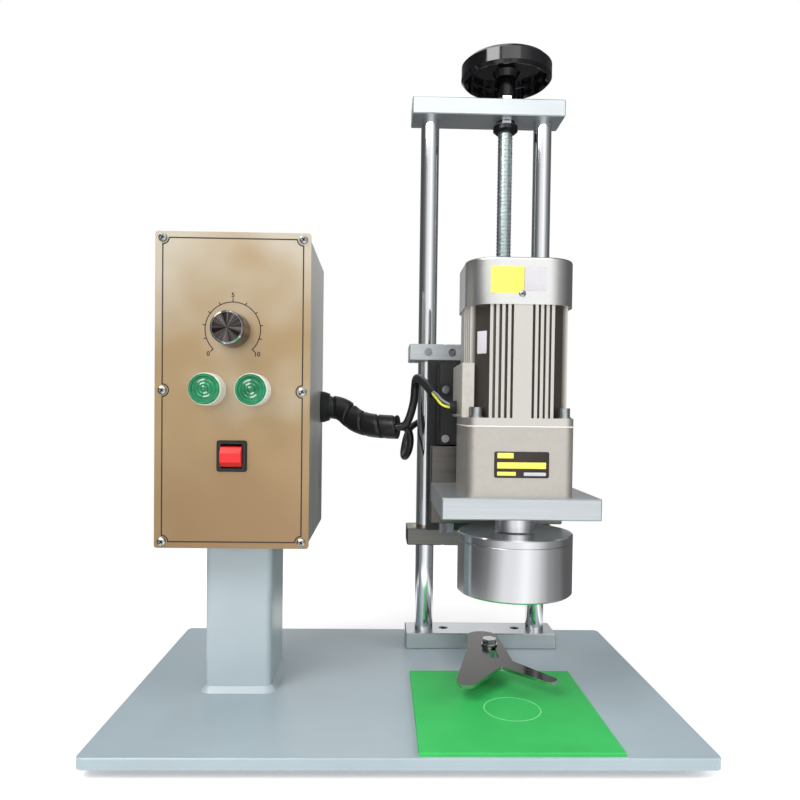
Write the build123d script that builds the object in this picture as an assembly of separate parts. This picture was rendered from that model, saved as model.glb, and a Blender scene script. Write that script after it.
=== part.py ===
from build123d import *
import math
import os

# Bench bottle capping machine: a post with a control box on the left of a steel base, and on
# the right a two-column mast whose carriage holds a gearmotor with a turned capping head.
# Millimetres. Origin on the floor under the middle of the base, +Z up, the front faces -Y.

# Base
base_width = 485
base_depth = 315
base_thickness = 9
base_corner = 6
base_edge = 0.8
foot_height = 8
foot_radius = 12
foot_inset = 36
base_top = foot_height + base_thickness

# Rubber mat under the bottle
mat_width = 157
mat_depth = 169
mat_thickness = 3
mat_offset_x = 6.7
mat_offset_y = 1.2

# General fits
seat_gap = 0.3
running_fit = 0.05
screw_clearance = 0.25

# Control post and box
control_x = -147
control_y = 8.8
post_width = 60
post_depth = 82
post_wall = 3
post_corner = 6
post_height = 139
weld_leg = 5
box_width = 131
box_depth = 144
box_height = 270
box_wall = 1.5
box_corner = 4
box_lip = 12
panel_overhang = 1
panel_thickness = 2
panel_corner = 2.5
panel_screw_inset_x = 6.5
panel_screw_inset_z = 5.5
panel_screw_radius = 2
panel_screw_head = 4
panel_screw_length = 9

# Controls on the panel, measured down from its top edge
dial_drop = 84
button_drop = 135
button_spread = 38.5
rocker_drop = 192
knob_radius = 15
knob_face_radius = 13.5
knob_height = 25
dial_setting = -60
shaft_radius = 3
bushing_radius = 4.75
bezel_radius = 14
bezel_height = 20
cap_radius = 12.9
cap_length = 12
cap_proud = 2.5
cap_travel = 3.5
cap_rings = 3
bezel_rim = 0.6
button_body_radius = 11
button_body_length = 32
rocker_width = 26
rocker_height = 27
rocker_bezel = 2
rocker_wall = 1.9
rocker_tilt = 8
rocker_pin_radius = 1.4
rocker_pin_reach = 1.3
rocker_body_depth = 18

# Inside the box
controller_width = 62
controller_depth = 32
controller_height = 84
controller_rise = 110
controller_x = 10
controller_fins = 5
controller_fin_pitch = 14
inlet_width = 48
inlet_height = 28
inlet_x = 30
inlet_rise = 26
gland_rise = 123
gland_offset = 54.2
gland_radius = 16
gland_length = 9

# Mast
mast_x = 93.5
mast_y = 108
column_spacing = 124
column_radius = 10
column_seat = 14
block_width = 165
block_depth = 42
block_thickness = 18
block_edge = 1
foot_block_height = 17
foot_screw_spread = 80
frame_screw_radius = 3
top_plate_rise = 578
screw_offset = 21

# Hand screw
lead_screw_radius = 8
lead_screw_end = 141
journal_radius = 6
wheel_radius = 49.4
wheel_rise = 621.5
wheel_rim_height = 20
wheel_rim_wall = 7
wheel_web = 6
wheel_hub_radius = 11
wheel_lobes = 12
lobe_radius = 7
bearing_radius = 10
nut_size = 9.5
nut_height = 5
hub_nut_height = 8
collar_radius = 13.5
collar_height = 7

# Carriage
lower_block_rise = 113.5
upper_block_rise = 313.5
bush_radius = 14
lead_nut_radius = 12
lead_nut_flange = 14
lead_nut_flange_height = 6
head_offset = 4.2
plate_width = 132
carriage_plate_thickness = 18
carriage_plate_gap = 1.5
plate_screw_radius = 2.5
plate_screw_inset = 18
plate_screw_grip = 12
pinch_step = 26
pinch_radius = 4
pinch_depth = 4
rail_width = 15
rail_height = 15
rail_waist = 1.5
rail_spread = 92
runner_width = 34
runner_length = 30
guide_height = 33
slide_thickness = 20
slide_height = 77
slide_rise = 147
stroke_travel = 25
stroke_gap = 1.5
stroke_screw_radius = 5
stroke_screw_reach = 40
stroke_screw_seat = 36
gear_case_width = 117
gear_case_height = 61
case_screw_inset = 6.5
case_screw_drop = 6
stroke_motor_width = 64
stroke_motor_height = 21

# Head
motor_plate_depth = 128
motor_plate_thickness = 18
motor_plate_rise = 170
gearbox_size = 90
gearbox_height = 59
gearbox_corner = 8
gearbox_setback = 8.3
gearbox_wall = 5
output_offset = 22
bolt_pitch = 74
bolt_radius = 3
bolt_head_height = 7.5
bolt_grip = 12
washer_radius = 6.3
washer_height = 1.2
motor_flange = 7
motor_length = 94
fin_land = 7.8
fin_count = 4
fin_pitch = 4.8
fin_width = 2.6
fin_depth = 7
fin_step = 1.1
motor_corner = 26.4
fan_cover_size = 92
fan_cover_corner = 26
fan_cover_edge = 2
fan_cover_height = 39
fan_cover_wall = 1.6
fan_slots = 16
fan_slot_radius = 26
fan_slot_length = 18
fan_slot_width = 3.4
fan_blades = 8
fan_blade_radius = 24
fan_blade_length = 28
fan_blade_width = 2
fan_blade_height = 12
fan_hub_radius = 12
fan_hub_height = 14
fan_rise = 6
lead_box_width = 11
lead_box_depth = 66
lead_box_height = 46
lead_box_proud = 4.5
grommet_radius = 6
grommet_length = 6

# Rotor, and the gear train: rotor pinion, lay shaft, output gear
rotor_radius = 22
rotor_length = 60
rotor_shaft = 6
rotor_rise = 14
lay_shaft_radius = 4
upper_gear_rise = 34
lower_gear_rise = 16
gear_module = 0.75
pinion_teeth = 12
lay_teeth = 48
lay_pinion_teeth = 16
output_teeth = 40
gear_face = 9
gear_backlash = 0.14

# Capping head
output_radius = 9
chuck_rise = 105
chuck_radius = 49
chuck_height = 44.5
chuck_lid_height = 7
chuck_hub_radius = 17
chuck_wall = 12
pad_radius = 24
pad_height = 26
pad_bore = 14

# Bottle fork
fork_thickness = 3
fork_rise = 17
fork_offset_x = 2.7
fork_offset_y = 112.2
fork_end = (-3, 29.3)
fork_end_radius = 16
fork_left_tip = ((-43.8, -93.5), (-41.5, -108.5), (-30.5, -108))
fork_right_tip = ((39.5, -103), (48.5, -93))
fork_left_kink = (-22, -4)
fork_right_kink = (15.5, -47)
fork_apex = (2, -61)
fork_tip_radius = 5
fork_slot_half = 4.2
fork_slot_length = 35
fork_bolt_radius = 4
fork_pillar_radius = 9

# Leads
trunk_radius = 12
motor_lead_radius = 4
stroke_lead_radius = 3.5

# Places that several pieces share
post_top = base_top + post_height
box_bottom = post_top
box_front = control_y - box_depth / 2
gland_y = control_y + gland_offset
panel_width = box_width + 2 * panel_overhang
panel_height = box_height + 2 * panel_overhang
panel_front = box_front - panel_thickness
panel_bottom = box_bottom + (box_height - panel_height) / 2
panel_top = panel_bottom + panel_height
head_x = mast_x + head_offset
screw_x = mast_x + screw_offset
block_front = mast_y - block_depth / 2
top_plate_bottom = base_top + top_plate_rise
top_plate_top = top_plate_bottom + block_thickness
lower_bottom = base_top + lower_block_rise
lower_top = lower_bottom + block_thickness
upper_bottom = base_top + upper_block_rise
upper_top = upper_bottom + block_thickness
carriage_plate_back = mast_y - column_radius - carriage_plate_gap
carriage_plate_front = carriage_plate_back - carriage_plate_thickness
plate_screw_y = (block_front + carriage_plate_back) / 2
slide_back = carriage_plate_front - guide_height
slide_front = slide_back - slide_thickness
slide_bottom = base_top + slide_rise
slide_top = slide_bottom + slide_height
motor_plate_bottom = base_top + motor_plate_rise
motor_plate_top = motor_plate_bottom + motor_plate_thickness
motor_plate_front = slide_front - motor_plate_depth
gearbox_y = motor_plate_front + gearbox_setback + gearbox_size / 2
gearbox_top = motor_plate_top + gearbox_height
motor_flange_top = gearbox_top + motor_flange
motor_top = motor_flange_top + motor_length
head_y = gearbox_y - output_offset
mat_x = head_x - mat_offset_x
mat_y = head_y + mat_offset_y
fork_x = head_x - fork_offset_x
fork_y = head_y + fork_offset_y
chuck_bottom = base_top + chuck_rise
chuck_top = chuck_bottom + chuck_height
lid_top = chuck_top + chuck_lid_height
gear_case_bottom = slide_top + stroke_gap
gear_case_top = gear_case_bottom + gear_case_height
collar_top = top_plate_bottom - nut_height - seat_gap
rotor_bottom = motor_flange_top + rotor_rise
upper_gear_z = motor_plate_top + upper_gear_rise
lower_gear_z = motor_plate_top + lower_gear_rise
lay_radius = gear_module * (pinion_teeth + lay_teeth) / 2
output_centres = gear_module * (lay_pinion_teeth + output_teeth) / 2
lay_back = (lay_radius**2 - output_centres**2 + output_offset**2) / (2 * output_offset)
lay_side = math.sqrt(lay_radius**2 - lay_back**2)
lay_x = head_x + lay_side
lay_y = gearbox_y - lay_back
lead_box_left = head_x - gearbox_size / 2 - lead_box_proud
lead_exit_y = gearbox_y + 3
lead_exit_z = motor_flange_top + 8.5
mirrored = (-1, 1)


def slab(width, depth, height, x, y, z):
    """A plain block with its middle at x, y and its underside at z."""
    return Pos(x, y, z) * Box(width, depth, height, align=(Align.CENTER, Align.CENTER, Align.MIN))


def pin(radius, height, x, y, z):
    """An upright round bar that starts at z."""
    return Pos(x, y, z) * Cylinder(radius, height, align=(Align.CENTER, Align.CENTER, Align.MIN))


def rod_y(radius, length, x, y, z):
    """A round bar along Y that starts at y and runs backwards."""
    return Pos(x, y, z) * Rot(-90, 0, 0) * Cylinder(
        radius, length, align=(Align.CENTER, Align.CENTER, Align.MIN)
    )


def rounded_slab(width, depth, height, corner, x, y, z):
    """A block with rounded upright edges."""
    return Pos(x, y, z) * extrude(RectangleRounded(width, depth, corner), height)


def turned(points, x, y, z):
    """A turned piece from its half section, given as (radius, height) pairs."""
    section = make_face(Polyline([(r, 0, h) for r, h in points], close=True))
    return Pos(x, y, z) * revolve(section, Axis.Z)


def turned_forward(points, x, y, z):
    """A turned piece whose axis points out of the panel, from (radius, reach) pairs."""
    return Pos(x, y, z) * Rot(90, 0, 0) * turned(points, 0, 0, 0)


def counterbore(radius, x, y, top):
    """The pocket below a top face that takes a socket screw's head."""
    depth = 2 * radius + seat_gap
    return pin(1.6 * radius + screw_clearance, depth, x, y, top - depth)


def socket_screw(radius, length, x, y, z):
    """A socket head cap screw, head up, with the underside of the head at z."""
    head = 1.6 * radius
    body = pin(head, 2 * radius, x, y, z) + pin(radius, length, x, y, z - length)
    key = RegularPolygon(0.9 * radius, 6)
    return body - Pos(x, y, z + radius) * extrude(key, radius + 1)


def save(piece, name):
    export_step(piece, "parts/" + name + ".step")


def base_plate():
    plate = rounded_slab(base_width, base_depth, base_thickness, base_corner, 0, 0, foot_height)
    plate = chamfer(plate.faces().sort_by(Axis.Z)[-1].edges(), base_edge)
    for side in mirrored:
        plate -= pin(frame_screw_radius, base_thickness, mast_x + side * foot_screw_spread / 2, mast_y, foot_height)
    return plate - pin(fork_bolt_radius, base_thickness, fork_x, fork_y, foot_height)


def rubber_feet():
    profile = [(0, 0), (foot_radius - 2, 0), (foot_radius, foot_height), (0, foot_height)]
    feet = []
    for side in mirrored:
        for end in mirrored:
            x = side * (base_width / 2 - foot_inset)
            y = end * (base_depth / 2 - foot_inset)
            feet.append(turned(profile, x, y, 0))
    return Compound(feet)


def bottle_mat():
    mat = slab(mat_width, mat_depth, mat_thickness, mat_x, mat_y, base_top)
    return chamfer(mat.faces().sort_by(Axis.Z)[-1].edges(), 0.4)


def control_post():
    """A rectangular tube with a welded cap, and the weld bead where it meets the base."""
    tube = RectangleRounded(post_width, post_depth, post_corner)
    inner = post_corner - post_wall
    bore = RectangleRounded(post_width - 2 * post_wall, post_depth - 2 * post_wall, inner)
    post = extrude(tube, post_height)
    wide = RectangleRounded(post_width + 2 * weld_leg, post_depth + 2 * weld_leg, post_corner + weld_leg)
    narrow = RectangleRounded(post_width + 1, post_depth + 1, post_corner + 0.5)
    bead = loft([wide, Pos(0, 0, weld_leg) * narrow])
    post = post + bead - extrude(bore, post_height - 2 * post_wall)
    return Pos(control_x, control_y, base_top) * post


def box_housing():
    """A folded sheet box, open at the front, with a lip round the opening for the panel."""
    outline = RectangleRounded(box_width, box_height, box_corner)
    shell = extrude(outline, box_depth)
    inner = RectangleRounded(box_width - 2 * box_wall, box_height - 2 * box_wall, box_corner - box_wall)
    shell -= Pos(0, 0, box_wall) * extrude(inner, box_depth - 2 * box_wall)
    mouth = RectangleRounded(box_width - 2 * box_lip, box_height - 2 * box_lip, box_corner)
    shell -= extrude(mouth, box_wall)
    shell = Pos(control_x, box_front, box_bottom + box_height / 2) * Rot(-90, 0, 0) * shell
    for x, z in panel_screw_places():
        shell -= rod_y(panel_screw_radius, box_wall, x, box_front, z)
    back = control_y + box_depth / 2 - box_wall
    shell -= Pos(control_x + inlet_x, back, box_bottom + inlet_rise) * Box(
        inlet_width - 18, 4 * box_wall, inlet_height - 4
    )
    right = control_x + box_width / 2
    return shell - Pos(right, gland_y, box_bottom + gland_rise) * Rot(0, 90, 0) * Cylinder(
        gland_radius - 3, 4 * box_wall
    )


def panel_screw_places():
    places = []
    for side in mirrored:
        x = control_x + side * (panel_width / 2 - panel_screw_inset_x)
        for z in (
            panel_bottom + panel_screw_inset_z,
            panel_bottom + panel_height / 2,
            panel_top - panel_screw_inset_z,
        ):
            places.append((x, z))
    return places


def front_panel():
    sheet = extrude(RectangleRounded(panel_width, panel_height, panel_corner), panel_thickness)
    place = Pos(control_x, box_front, panel_bottom + panel_height / 2) * Rot(90, 0, 0)
    sheet = place * sheet
    for x, z in panel_screw_places():
        sheet -= rod_y(panel_screw_radius + screw_clearance, panel_thickness, x, panel_front, z)
    sheet -= rod_y(bushing_radius + running_fit, panel_thickness, control_x, panel_front, panel_top - dial_drop)
    for side in mirrored:
        x = control_x + side * button_spread / 2
        hole = button_body_radius + running_fit
        sheet -= rod_y(hole, panel_thickness, x, panel_front, panel_top - button_drop)
    window = Box(
        rocker_width - 2 * rocker_wall + 2 * running_fit,
        4 * panel_thickness,
        rocker_height - 2 * rocker_wall + 2 * running_fit,
    )
    return sheet - Pos(control_x, panel_front, panel_top - rocker_drop) * window


def panel_screws():
    screws = []
    for x, z in panel_screw_places():
        head = turned_forward(
            [(0, 0), (panel_screw_head, 0), (panel_screw_head - 0.6, 1.6), (2, 2.4), (0, 2.4)],
            x, panel_front, z,
        )
        screw = head + rod_y(panel_screw_radius, panel_screw_length, x, panel_front, z)
        for turn in (0, 90):
            cross = Pos(x, panel_front - 2.4, z) * Rot(0, turn, 0) * Box(4, 2, 0.9)
            screw -= cross
        screws.append(screw)
    return Compound(screws)


def potentiometer():
    """The dial's resistor: a round can behind the panel with a threaded neck through it."""
    z = panel_top - dial_drop
    can = rod_y(12, 11, control_x, box_front, z)
    neck = rod_y(bushing_radius, panel_thickness + 4, control_x, panel_front - 4, z)
    nut = Pos(control_x, panel_front, z) * Rot(90, 0, 0) * extrude(RegularPolygon(7, 6), 2)
    bore = rod_y(shaft_radius + running_fit, 30, control_x, panel_front - 10, z)
    return can + neck + nut - bore


def speed_knob():
    """A tapered knob with a raised skirt, bored from behind for the resistor's shaft."""
    z = panel_top - dial_drop
    profile = [
        (shaft_radius + running_fit, 5),
        (9.5, 5),
        (9.5, 1),
        (knob_radius, 1),
        (knob_radius, 3),
        (knob_face_radius + 0.6, knob_height - 1.5),
        (knob_face_radius - 0.6, knob_height),
        (knob_face_radius - 1.6, knob_height),
        (knob_face_radius - 1.6, knob_height - 0.6),
        (0, knob_height - 0.6),
        (0, knob_height - 8),
        (shaft_radius + running_fit, knob_height - 8),
    ]
    knob = turned_forward(profile, control_x, panel_front, z)
    ridge = Pos(control_x, panel_front - knob_height, z) * Rot(0, -dial_setting, 0)
    return knob - ridge * Pos(0, 0, knob_face_radius) * Box(1.2, 12, 2.4)


def potentiometer_shaft():
    z = panel_top - dial_drop
    return rod_y(shaft_radius, knob_height + 4, control_x, panel_front - knob_height + 8.2, z)


def button_places():
    z = panel_top - button_drop
    return [(control_x + side * button_spread / 2, z) for side in mirrored]


def button_bodies():
    """Two sleeve bezels in front of the panel with their switch bodies behind it."""
    bodies = []
    for x, z in button_places():
        profile = [
            (0, -button_body_length),
            (button_body_radius, -button_body_length),
            (button_body_radius, 0),
            (bezel_radius, 0),
            (bezel_radius - bezel_rim / 2, bezel_height - 1),
            (bezel_radius - bezel_rim, bezel_height),
            (cap_radius + running_fit, bezel_height),
            (cap_radius + running_fit, bezel_height + cap_proud - cap_length - cap_travel),
            (0, bezel_height + cap_proud - cap_length - cap_travel),
        ]
        bodies.append(turned_forward(profile, x, panel_front, z))
    return Compound(bodies)


def button_cap(place):
    """A green lens cap: a raised rim round a dish with concentric rings."""
    x, z = place
    front = bezel_height + cap_proud
    profile = [
        (0, front - cap_length),
        (cap_radius, front - cap_length),
        (cap_radius, front - 1),
        (cap_radius - 1, front),
        (cap_radius - 2, front),
        (cap_radius - 3, front - 1.4),
    ]
    ring = (cap_radius - 3) / (cap_rings + 0.5)
    for step in range(cap_rings):
        outer = cap_radius - 3 - step * ring
        profile.append((outer - ring / 2, front - 1.6))
        profile.append((outer - ring, front - 0.9))
    profile.append((0, front - 1.2))
    return turned_forward(profile, x, panel_front, z)


def rocker_housing():
    z = panel_top - rocker_drop
    bezel = extrude(RectangleRounded(rocker_width, rocker_height, 2), rocker_bezel)
    bezel = chamfer(bezel.faces().sort_by(Axis.Z)[-1].outer_wire().edges(), 0.8)
    housing = Pos(control_x, panel_front, z) * Rot(90, 0, 0) * bezel
    body_width = rocker_width - 2 * rocker_wall
    body_height = rocker_height - 2 * rocker_wall
    housing += Pos(control_x, panel_front + rocker_body_depth / 2, z) * Box(
        body_width, rocker_body_depth, body_height
    )
    cavity = Box(body_width - 2 * rocker_wall, rocker_body_depth + 8, body_height - rocker_wall)
    housing -= Pos(control_x, panel_front + rocker_body_depth / 2 - 6, z) * cavity
    return housing - rocker_pin(rocker_pin_radius + running_fit, rocker_pin_reach + seat_gap)


def rocker_pin(radius, reach):
    """The bar that the key rocks on, which reaches a little way into both side walls."""
    half = rocker_width / 2 - 2 * rocker_wall + reach
    bar = Cylinder(radius, 2 * half)
    return Pos(control_x, panel_front, panel_top - rocker_drop) * Rot(0, 90, 0) * bar


def rocker_key():
    """The red key: its two front faces meet in a shallow V, and it stands tipped one way."""
    z = panel_top - rocker_drop
    width = rocker_width - 4 * rocker_wall - 2 * seat_gap
    half = (rocker_height - 3 * rocker_wall) / 2 - 2.2
    outline = Polyline(
        [(-half, 4), (-half, -4), (0, -3), (half, -4), (half, 4), (4, 8), (-4, 8)], close=True
    )
    key = extrude(Plane.YZ * make_face(outline), width / 2, both=True)
    key = Rot(90 + rocker_tilt, 0, 0) * key
    return Pos(control_x, panel_front, z) * key + rocker_pin(rocker_pin_radius, rocker_pin_reach)


def speed_controller():
    """The motor's speed controller, a potted module screwed to the back of the box."""
    back = control_y + box_depth / 2 - box_wall
    x = control_x - controller_x
    y = back - controller_depth / 2
    bottom = box_bottom + controller_rise
    module = rounded_slab(controller_width, controller_depth, controller_height, 3, x, y, bottom)
    middle = bottom + controller_height / 2
    for step in range(controller_fins):
        z = middle + (step - (controller_fins - 1) / 2) * controller_fin_pitch
        module -= Pos(x, back - controller_depth, z) * Box(controller_width - 12, 4, 5)
    return module


def mains_inlet():
    """A flanged mains inlet low on the back of the box."""
    back = control_y + box_depth / 2
    z = box_bottom + inlet_rise
    flange = extrude(RectangleRounded(inlet_width, inlet_height, 5), 3)
    inlet = Pos(control_x + inlet_x, back, z) * Rot(-90, 0, 0) * flange
    body_width = inlet_width - 19
    body_height = inlet_height - 5
    inlet += Pos(control_x + inlet_x, back - 11, z) * Box(body_width, 22, body_height)
    inlet -= Pos(control_x + inlet_x, back - 4, z) * Box(body_width - 4, 20, body_height - 5)
    for step in (-7, 0, 7):
        inlet += Pos(control_x + inlet_x + step, back - 8, z) * Box(2, 14, 5)
    return inlet


def cable_gland():
    """A ribbed rubber bush where the leads come out of the box's right side."""
    profile = [
        (trunk_radius - 3, -5),
        (gland_radius - 2, -5),
        (gland_radius - 3 - running_fit, -box_wall),
        (gland_radius - 3 - running_fit, 0),
        (gland_radius, 0),
        (gland_radius, 3),
        (gland_radius - 2, gland_length),
        (trunk_radius - 3, gland_length),
    ]
    right = control_x + box_width / 2
    bush = Rot(0, 90, 0) * turned(profile, 0, 0, 0)
    return Pos(right, gland_y, box_bottom + gland_rise) * bush


def cross_block(height, x, y, z):
    """One of the mast's cross blocks: square bar with broken edges."""
    block = slab(block_width, block_depth, height, x, y, z)
    return chamfer(block.edges(), block_edge)


def column_places():
    return [(mast_x + side * column_spacing / 2, mast_y) for side in mirrored]


def foot_block():
    block = cross_block(foot_block_height, mast_x, mast_y, base_top)
    for x, y in column_places():
        block -= pin(column_radius + running_fit, foot_block_height, x, y, base_top)
    for side in mirrored:
        x = mast_x + side * foot_screw_spread / 2
        block -= pin(frame_screw_radius + screw_clearance, foot_block_height, x, mast_y, base_top)
        block -= counterbore(frame_screw_radius, x, mast_y, base_top + foot_block_height)
    return block


def columns():
    rods = []
    for x, y in column_places():
        rod = pin(column_radius, top_plate_rise + column_seat - seat_gap, x, y, base_top)
        rods.append(chamfer(rod.edges().filter_by(GeomType.CIRCLE), 0.8))
    return Compound(rods)


def top_plate():
    plate = cross_block(block_thickness, mast_x, mast_y, top_plate_bottom)
    for x, y in column_places():
        plate -= pin(column_radius + running_fit, column_seat, x, y, top_plate_bottom)
        plate -= pin(frame_screw_radius + screw_clearance, block_thickness, x, y, top_plate_bottom)
    return plate - pin(bearing_radius, block_thickness, screw_x, mast_y, top_plate_bottom)


def stand_screws():
    """Socket screws: two hold the foot block down, two hold the top plate on the columns."""
    screws = []
    for side in mirrored:
        x = mast_x + side * foot_screw_spread / 2
        seat = base_top + foot_block_height - 2 * frame_screw_radius - seat_gap
        screws.append(socket_screw(frame_screw_radius - running_fit, seat - foot_height - 1, x, mast_y, seat))
    for x, y in column_places():
        grip = block_thickness - column_seat
        screws.append(socket_screw(frame_screw_radius - running_fit, grip, x, y, top_plate_top))
    return Compound(screws)


def screw_bearing():
    """A plain bush pressed into the top plate."""
    bush = pin(bearing_radius - running_fit, block_thickness, screw_x, mast_y, top_plate_bottom)
    return bush - pin(journal_radius + running_fit, block_thickness, screw_x, mast_y, top_plate_bottom)


def lead_screw():
    """The long screw: its thread is left off, and its thin end runs up through the handwheel."""
    wheel_face = base_top + wheel_rise + wheel_rim_height
    bottom = base_top + lead_screw_end
    shoulder = collar_top - bottom
    profile = [
        (0, 0),
        (lead_screw_radius - 1, 0),
        (lead_screw_radius, 1),
        (lead_screw_radius, shoulder),
        (journal_radius, shoulder),
        (journal_radius, wheel_face - bottom - 5),
        (0, wheel_face - bottom - 5),
    ]
    return turned(profile, screw_x, mast_y, bottom)


def screw_collar():
    """The dark collar on the screw, and the bright lock nut above it."""
    z = collar_top - collar_height
    profile = [
        (lead_screw_radius + running_fit, 0),
        (collar_radius - 3, 0),
        (collar_radius, 2.5),
        (collar_radius, collar_height),
        (lead_screw_radius + running_fit, collar_height),
    ]
    return turned(profile, screw_x, mast_y, z)


def lock_nuts():
    """Two thin hexagon nuts: one under the top plate, one under the handwheel's hub."""
    nuts = []
    for z, height in (
        (collar_top + seat_gap / 2, nut_height),
        (top_plate_top + seat_gap, hub_nut_height),
    ):
        nut = extrude(RegularPolygon(nut_size, 6), height) - Cylinder(
            journal_radius + running_fit, 4 * height
        )
        nuts.append(Pos(screw_x, mast_y, z) * nut)
    return Compound(nuts)


def handwheel():
    """A moulded wheel: smooth rim, closed top, and a scalloped grip inside the skirt."""
    z = base_top + wheel_rise
    top = wheel_rim_height
    hub_bottom = top_plate_top + 2 * seat_gap + hub_nut_height - z
    inner = wheel_radius - wheel_rim_wall
    web_bottom = top - wheel_web - 4
    profile = [
        (journal_radius + running_fit, hub_bottom),
        (wheel_hub_radius - 3, hub_bottom),
        (wheel_hub_radius, web_bottom - 6),
        (wheel_hub_radius + 4, web_bottom),
        (inner - 2, web_bottom + 1),
        (inner, web_bottom - 2),
        (inner, 1.5),
        (inner + 1.5, 0),
        (wheel_radius - 3, 0),
        (wheel_radius, 3),
        (wheel_radius, top - 4),
        (wheel_radius - 4, top),
        (inner - 4, top),
        (wheel_hub_radius + 6, top - 4),
        (wheel_hub_radius, top - 1),
        (journal_radius + running_fit, top - 1),
    ]
    wheel = turned(profile, screw_x, mast_y, z)
    for step in range(wheel_lobes):
        angle = 360 * step / wheel_lobes
        lobe = pin(lobe_radius, wheel_rim_height / 2, inner - lobe_radius / 2, 0, 0)
        lobe = Pos(screw_x, mast_y, z) * Rot(0, 0, angle) * lobe
        wheel -= lobe
    return wheel


def carriage_block(z, bore):
    block = cross_block(block_thickness, mast_x, mast_y, z)
    for x, y in column_places():
        block -= pin(bush_radius, block_thickness, x, y, z)
    block -= pin(bore, block_thickness, screw_x, mast_y, z)
    for x in plate_joint_places():
        block -= pin(plate_screw_radius + screw_clearance, block_thickness, x, plate_screw_y, z)
    return block


def plate_joint_places():
    return [head_x + side * (plate_width / 2 - plate_screw_inset) for side in mirrored]


def upper_block():
    """The upper cross block holds the lead nut; four pinch screws sit in its front face."""
    block = carriage_block(upper_bottom, lead_nut_radius)
    for x in plate_joint_places():
        block -= counterbore(plate_screw_radius, x, plate_screw_y, upper_top)
    for x in pinch_screw_places():
        pocket = pinch_radius + screw_clearance
        block -= rod_y(pocket, pinch_depth + 1, x, block_front, upper_bottom + block_thickness / 2)
    return block


def pinch_screw_places():
    left, right = [x for x, y in column_places()]
    return [left, left + pinch_step, right - pinch_step, right]


def lower_block():
    block = carriage_block(lower_bottom, lead_screw_radius + 1.5)
    for x in plate_joint_places():
        pocket = Pos(x, plate_screw_y, lower_bottom) * Rot(180, 0, 0) * counterbore(plate_screw_radius, 0, 0, 0)
        block -= pocket
    return block


def column_bushes():
    bushes = []
    for z in (lower_bottom, upper_bottom):
        for x, y in column_places():
            bush = pin(bush_radius - running_fit, block_thickness, x, y, z)
            bushes.append(bush - pin(column_radius + running_fit, block_thickness, x, y, z))
    return Compound(bushes)


def lead_nut():
    profile = [
        (lead_screw_radius + running_fit, 0),
        (lead_nut_radius - running_fit, 0),
        (lead_nut_radius - running_fit, block_thickness),
        (lead_nut_flange, block_thickness),
        (lead_nut_flange, block_thickness + lead_nut_flange_height),
        (lead_screw_radius + running_fit, block_thickness + lead_nut_flange_height),
    ]
    return turned(profile, screw_x, mast_y, upper_bottom)


def carriage_plate():
    """The fixed back of the stroke slide, screwed between the two cross blocks."""
    height = upper_bottom - lower_top
    y = (carriage_plate_back + carriage_plate_front) / 2
    plate = slab(plate_width, carriage_plate_thickness, height, head_x, y, lower_top)
    depth = plate_screw_grip + 2
    for x in plate_joint_places():
        plate -= pin(plate_screw_radius, depth, x, plate_screw_y, lower_top)
        plate -= pin(plate_screw_radius, depth, x, plate_screw_y, upper_bottom - depth)
    return plate


def carriage_screws():
    """Socket screws of the carriage: four in the plate's ends, four pinch screws in the upper
    block's face and four in the corners of the stroke drive's case."""
    screws = []
    head = 2 * plate_screw_radius + seat_gap
    grip = block_thickness - head + plate_screw_grip
    screw = socket_screw(plate_screw_radius - running_fit, grip, 0, 0, 0)
    for x in plate_joint_places():
        screws.append(Pos(x, plate_screw_y, upper_top - head) * screw)
        screws.append(Pos(x, plate_screw_y, lower_bottom + head) * Rot(180, 0, 0) * screw)
    for x in pinch_screw_places():
        z = upper_bottom + block_thickness / 2
        plug = rod_y(pinch_radius, pinch_depth, x, block_front + 1, z)
        key = Pos(x, block_front + pinch_depth / 2, z) * Rot(90, 0, 0)
        screws.append(plug - key * extrude(RegularPolygon(pinch_radius / 2, 6), pinch_depth))
    for x, z in case_screw_places():
        screws.append(Pos(x, case_front(), z) * Rot(90, 0, 0) * screw)
    return Compound(screws)


def case_front():
    return carriage_plate_front - guide_height - 13


def case_screw_places():
    half = gear_case_width / 2 - case_screw_inset
    low = gear_case_bottom + case_screw_drop
    high = gear_case_top - case_screw_drop
    return [(head_x + side * half, z) for side in mirrored for z in (low, high)]


def rail_section(grow):
    """The rail's section, seen from above, with its foot on the carriage plate."""
    half = rail_width / 2 + grow
    waist = half - rail_waist
    front = -rail_height - grow
    return make_face(
        Polyline(
            [
                (-half, 0), (-half, -3), (-waist, -5), (-waist, -9), (-half, -11), (-half, front),
                (half, front), (half, -11), (waist, -9), (waist, -5), (half, -3), (half, 0),
            ],
            close=True,
        )
    )


def guide_rails():
    rails = []
    height = slide_top - lower_top - 2
    for side in mirrored:
        x = head_x + side * rail_spread / 2
        rails.append(Pos(x, carriage_plate_front, lower_top) * extrude(rail_section(0), height))
    return Compound(rails)


def runner_blocks():
    """Four runners, two on each rail, that carry the slide plate."""
    runners = []
    depth = guide_height - 4
    for side in mirrored:
        x = head_x + side * rail_spread / 2
        for z in (slide_bottom + 5, slide_top - 5 - runner_length):
            y = slide_back + depth / 2
            runner = slab(runner_width, depth, runner_length, x, y, z)
            groove = Pos(x, carriage_plate_front, z) * extrude(rail_section(running_fit), runner_length)
            runners.append(runner - groove)
    return Compound(runners)


def stroke_gear_case():
    depth = carriage_plate_front - case_front()
    y = carriage_plate_front - depth / 2
    case = slab(gear_case_width, depth, gear_case_height, head_x, y, gear_case_bottom)
    case = chamfer(case.edges().filter_by(Axis.Z), 2)
    for x, z in case_screw_places():
        case -= rod_y(plate_screw_radius, 26, x, case_front(), z)
    y = slide_front + slide_thickness / 2
    return case - pin(stroke_screw_radius + running_fit, stroke_screw_seat, head_x, y, gear_case_bottom)


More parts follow.
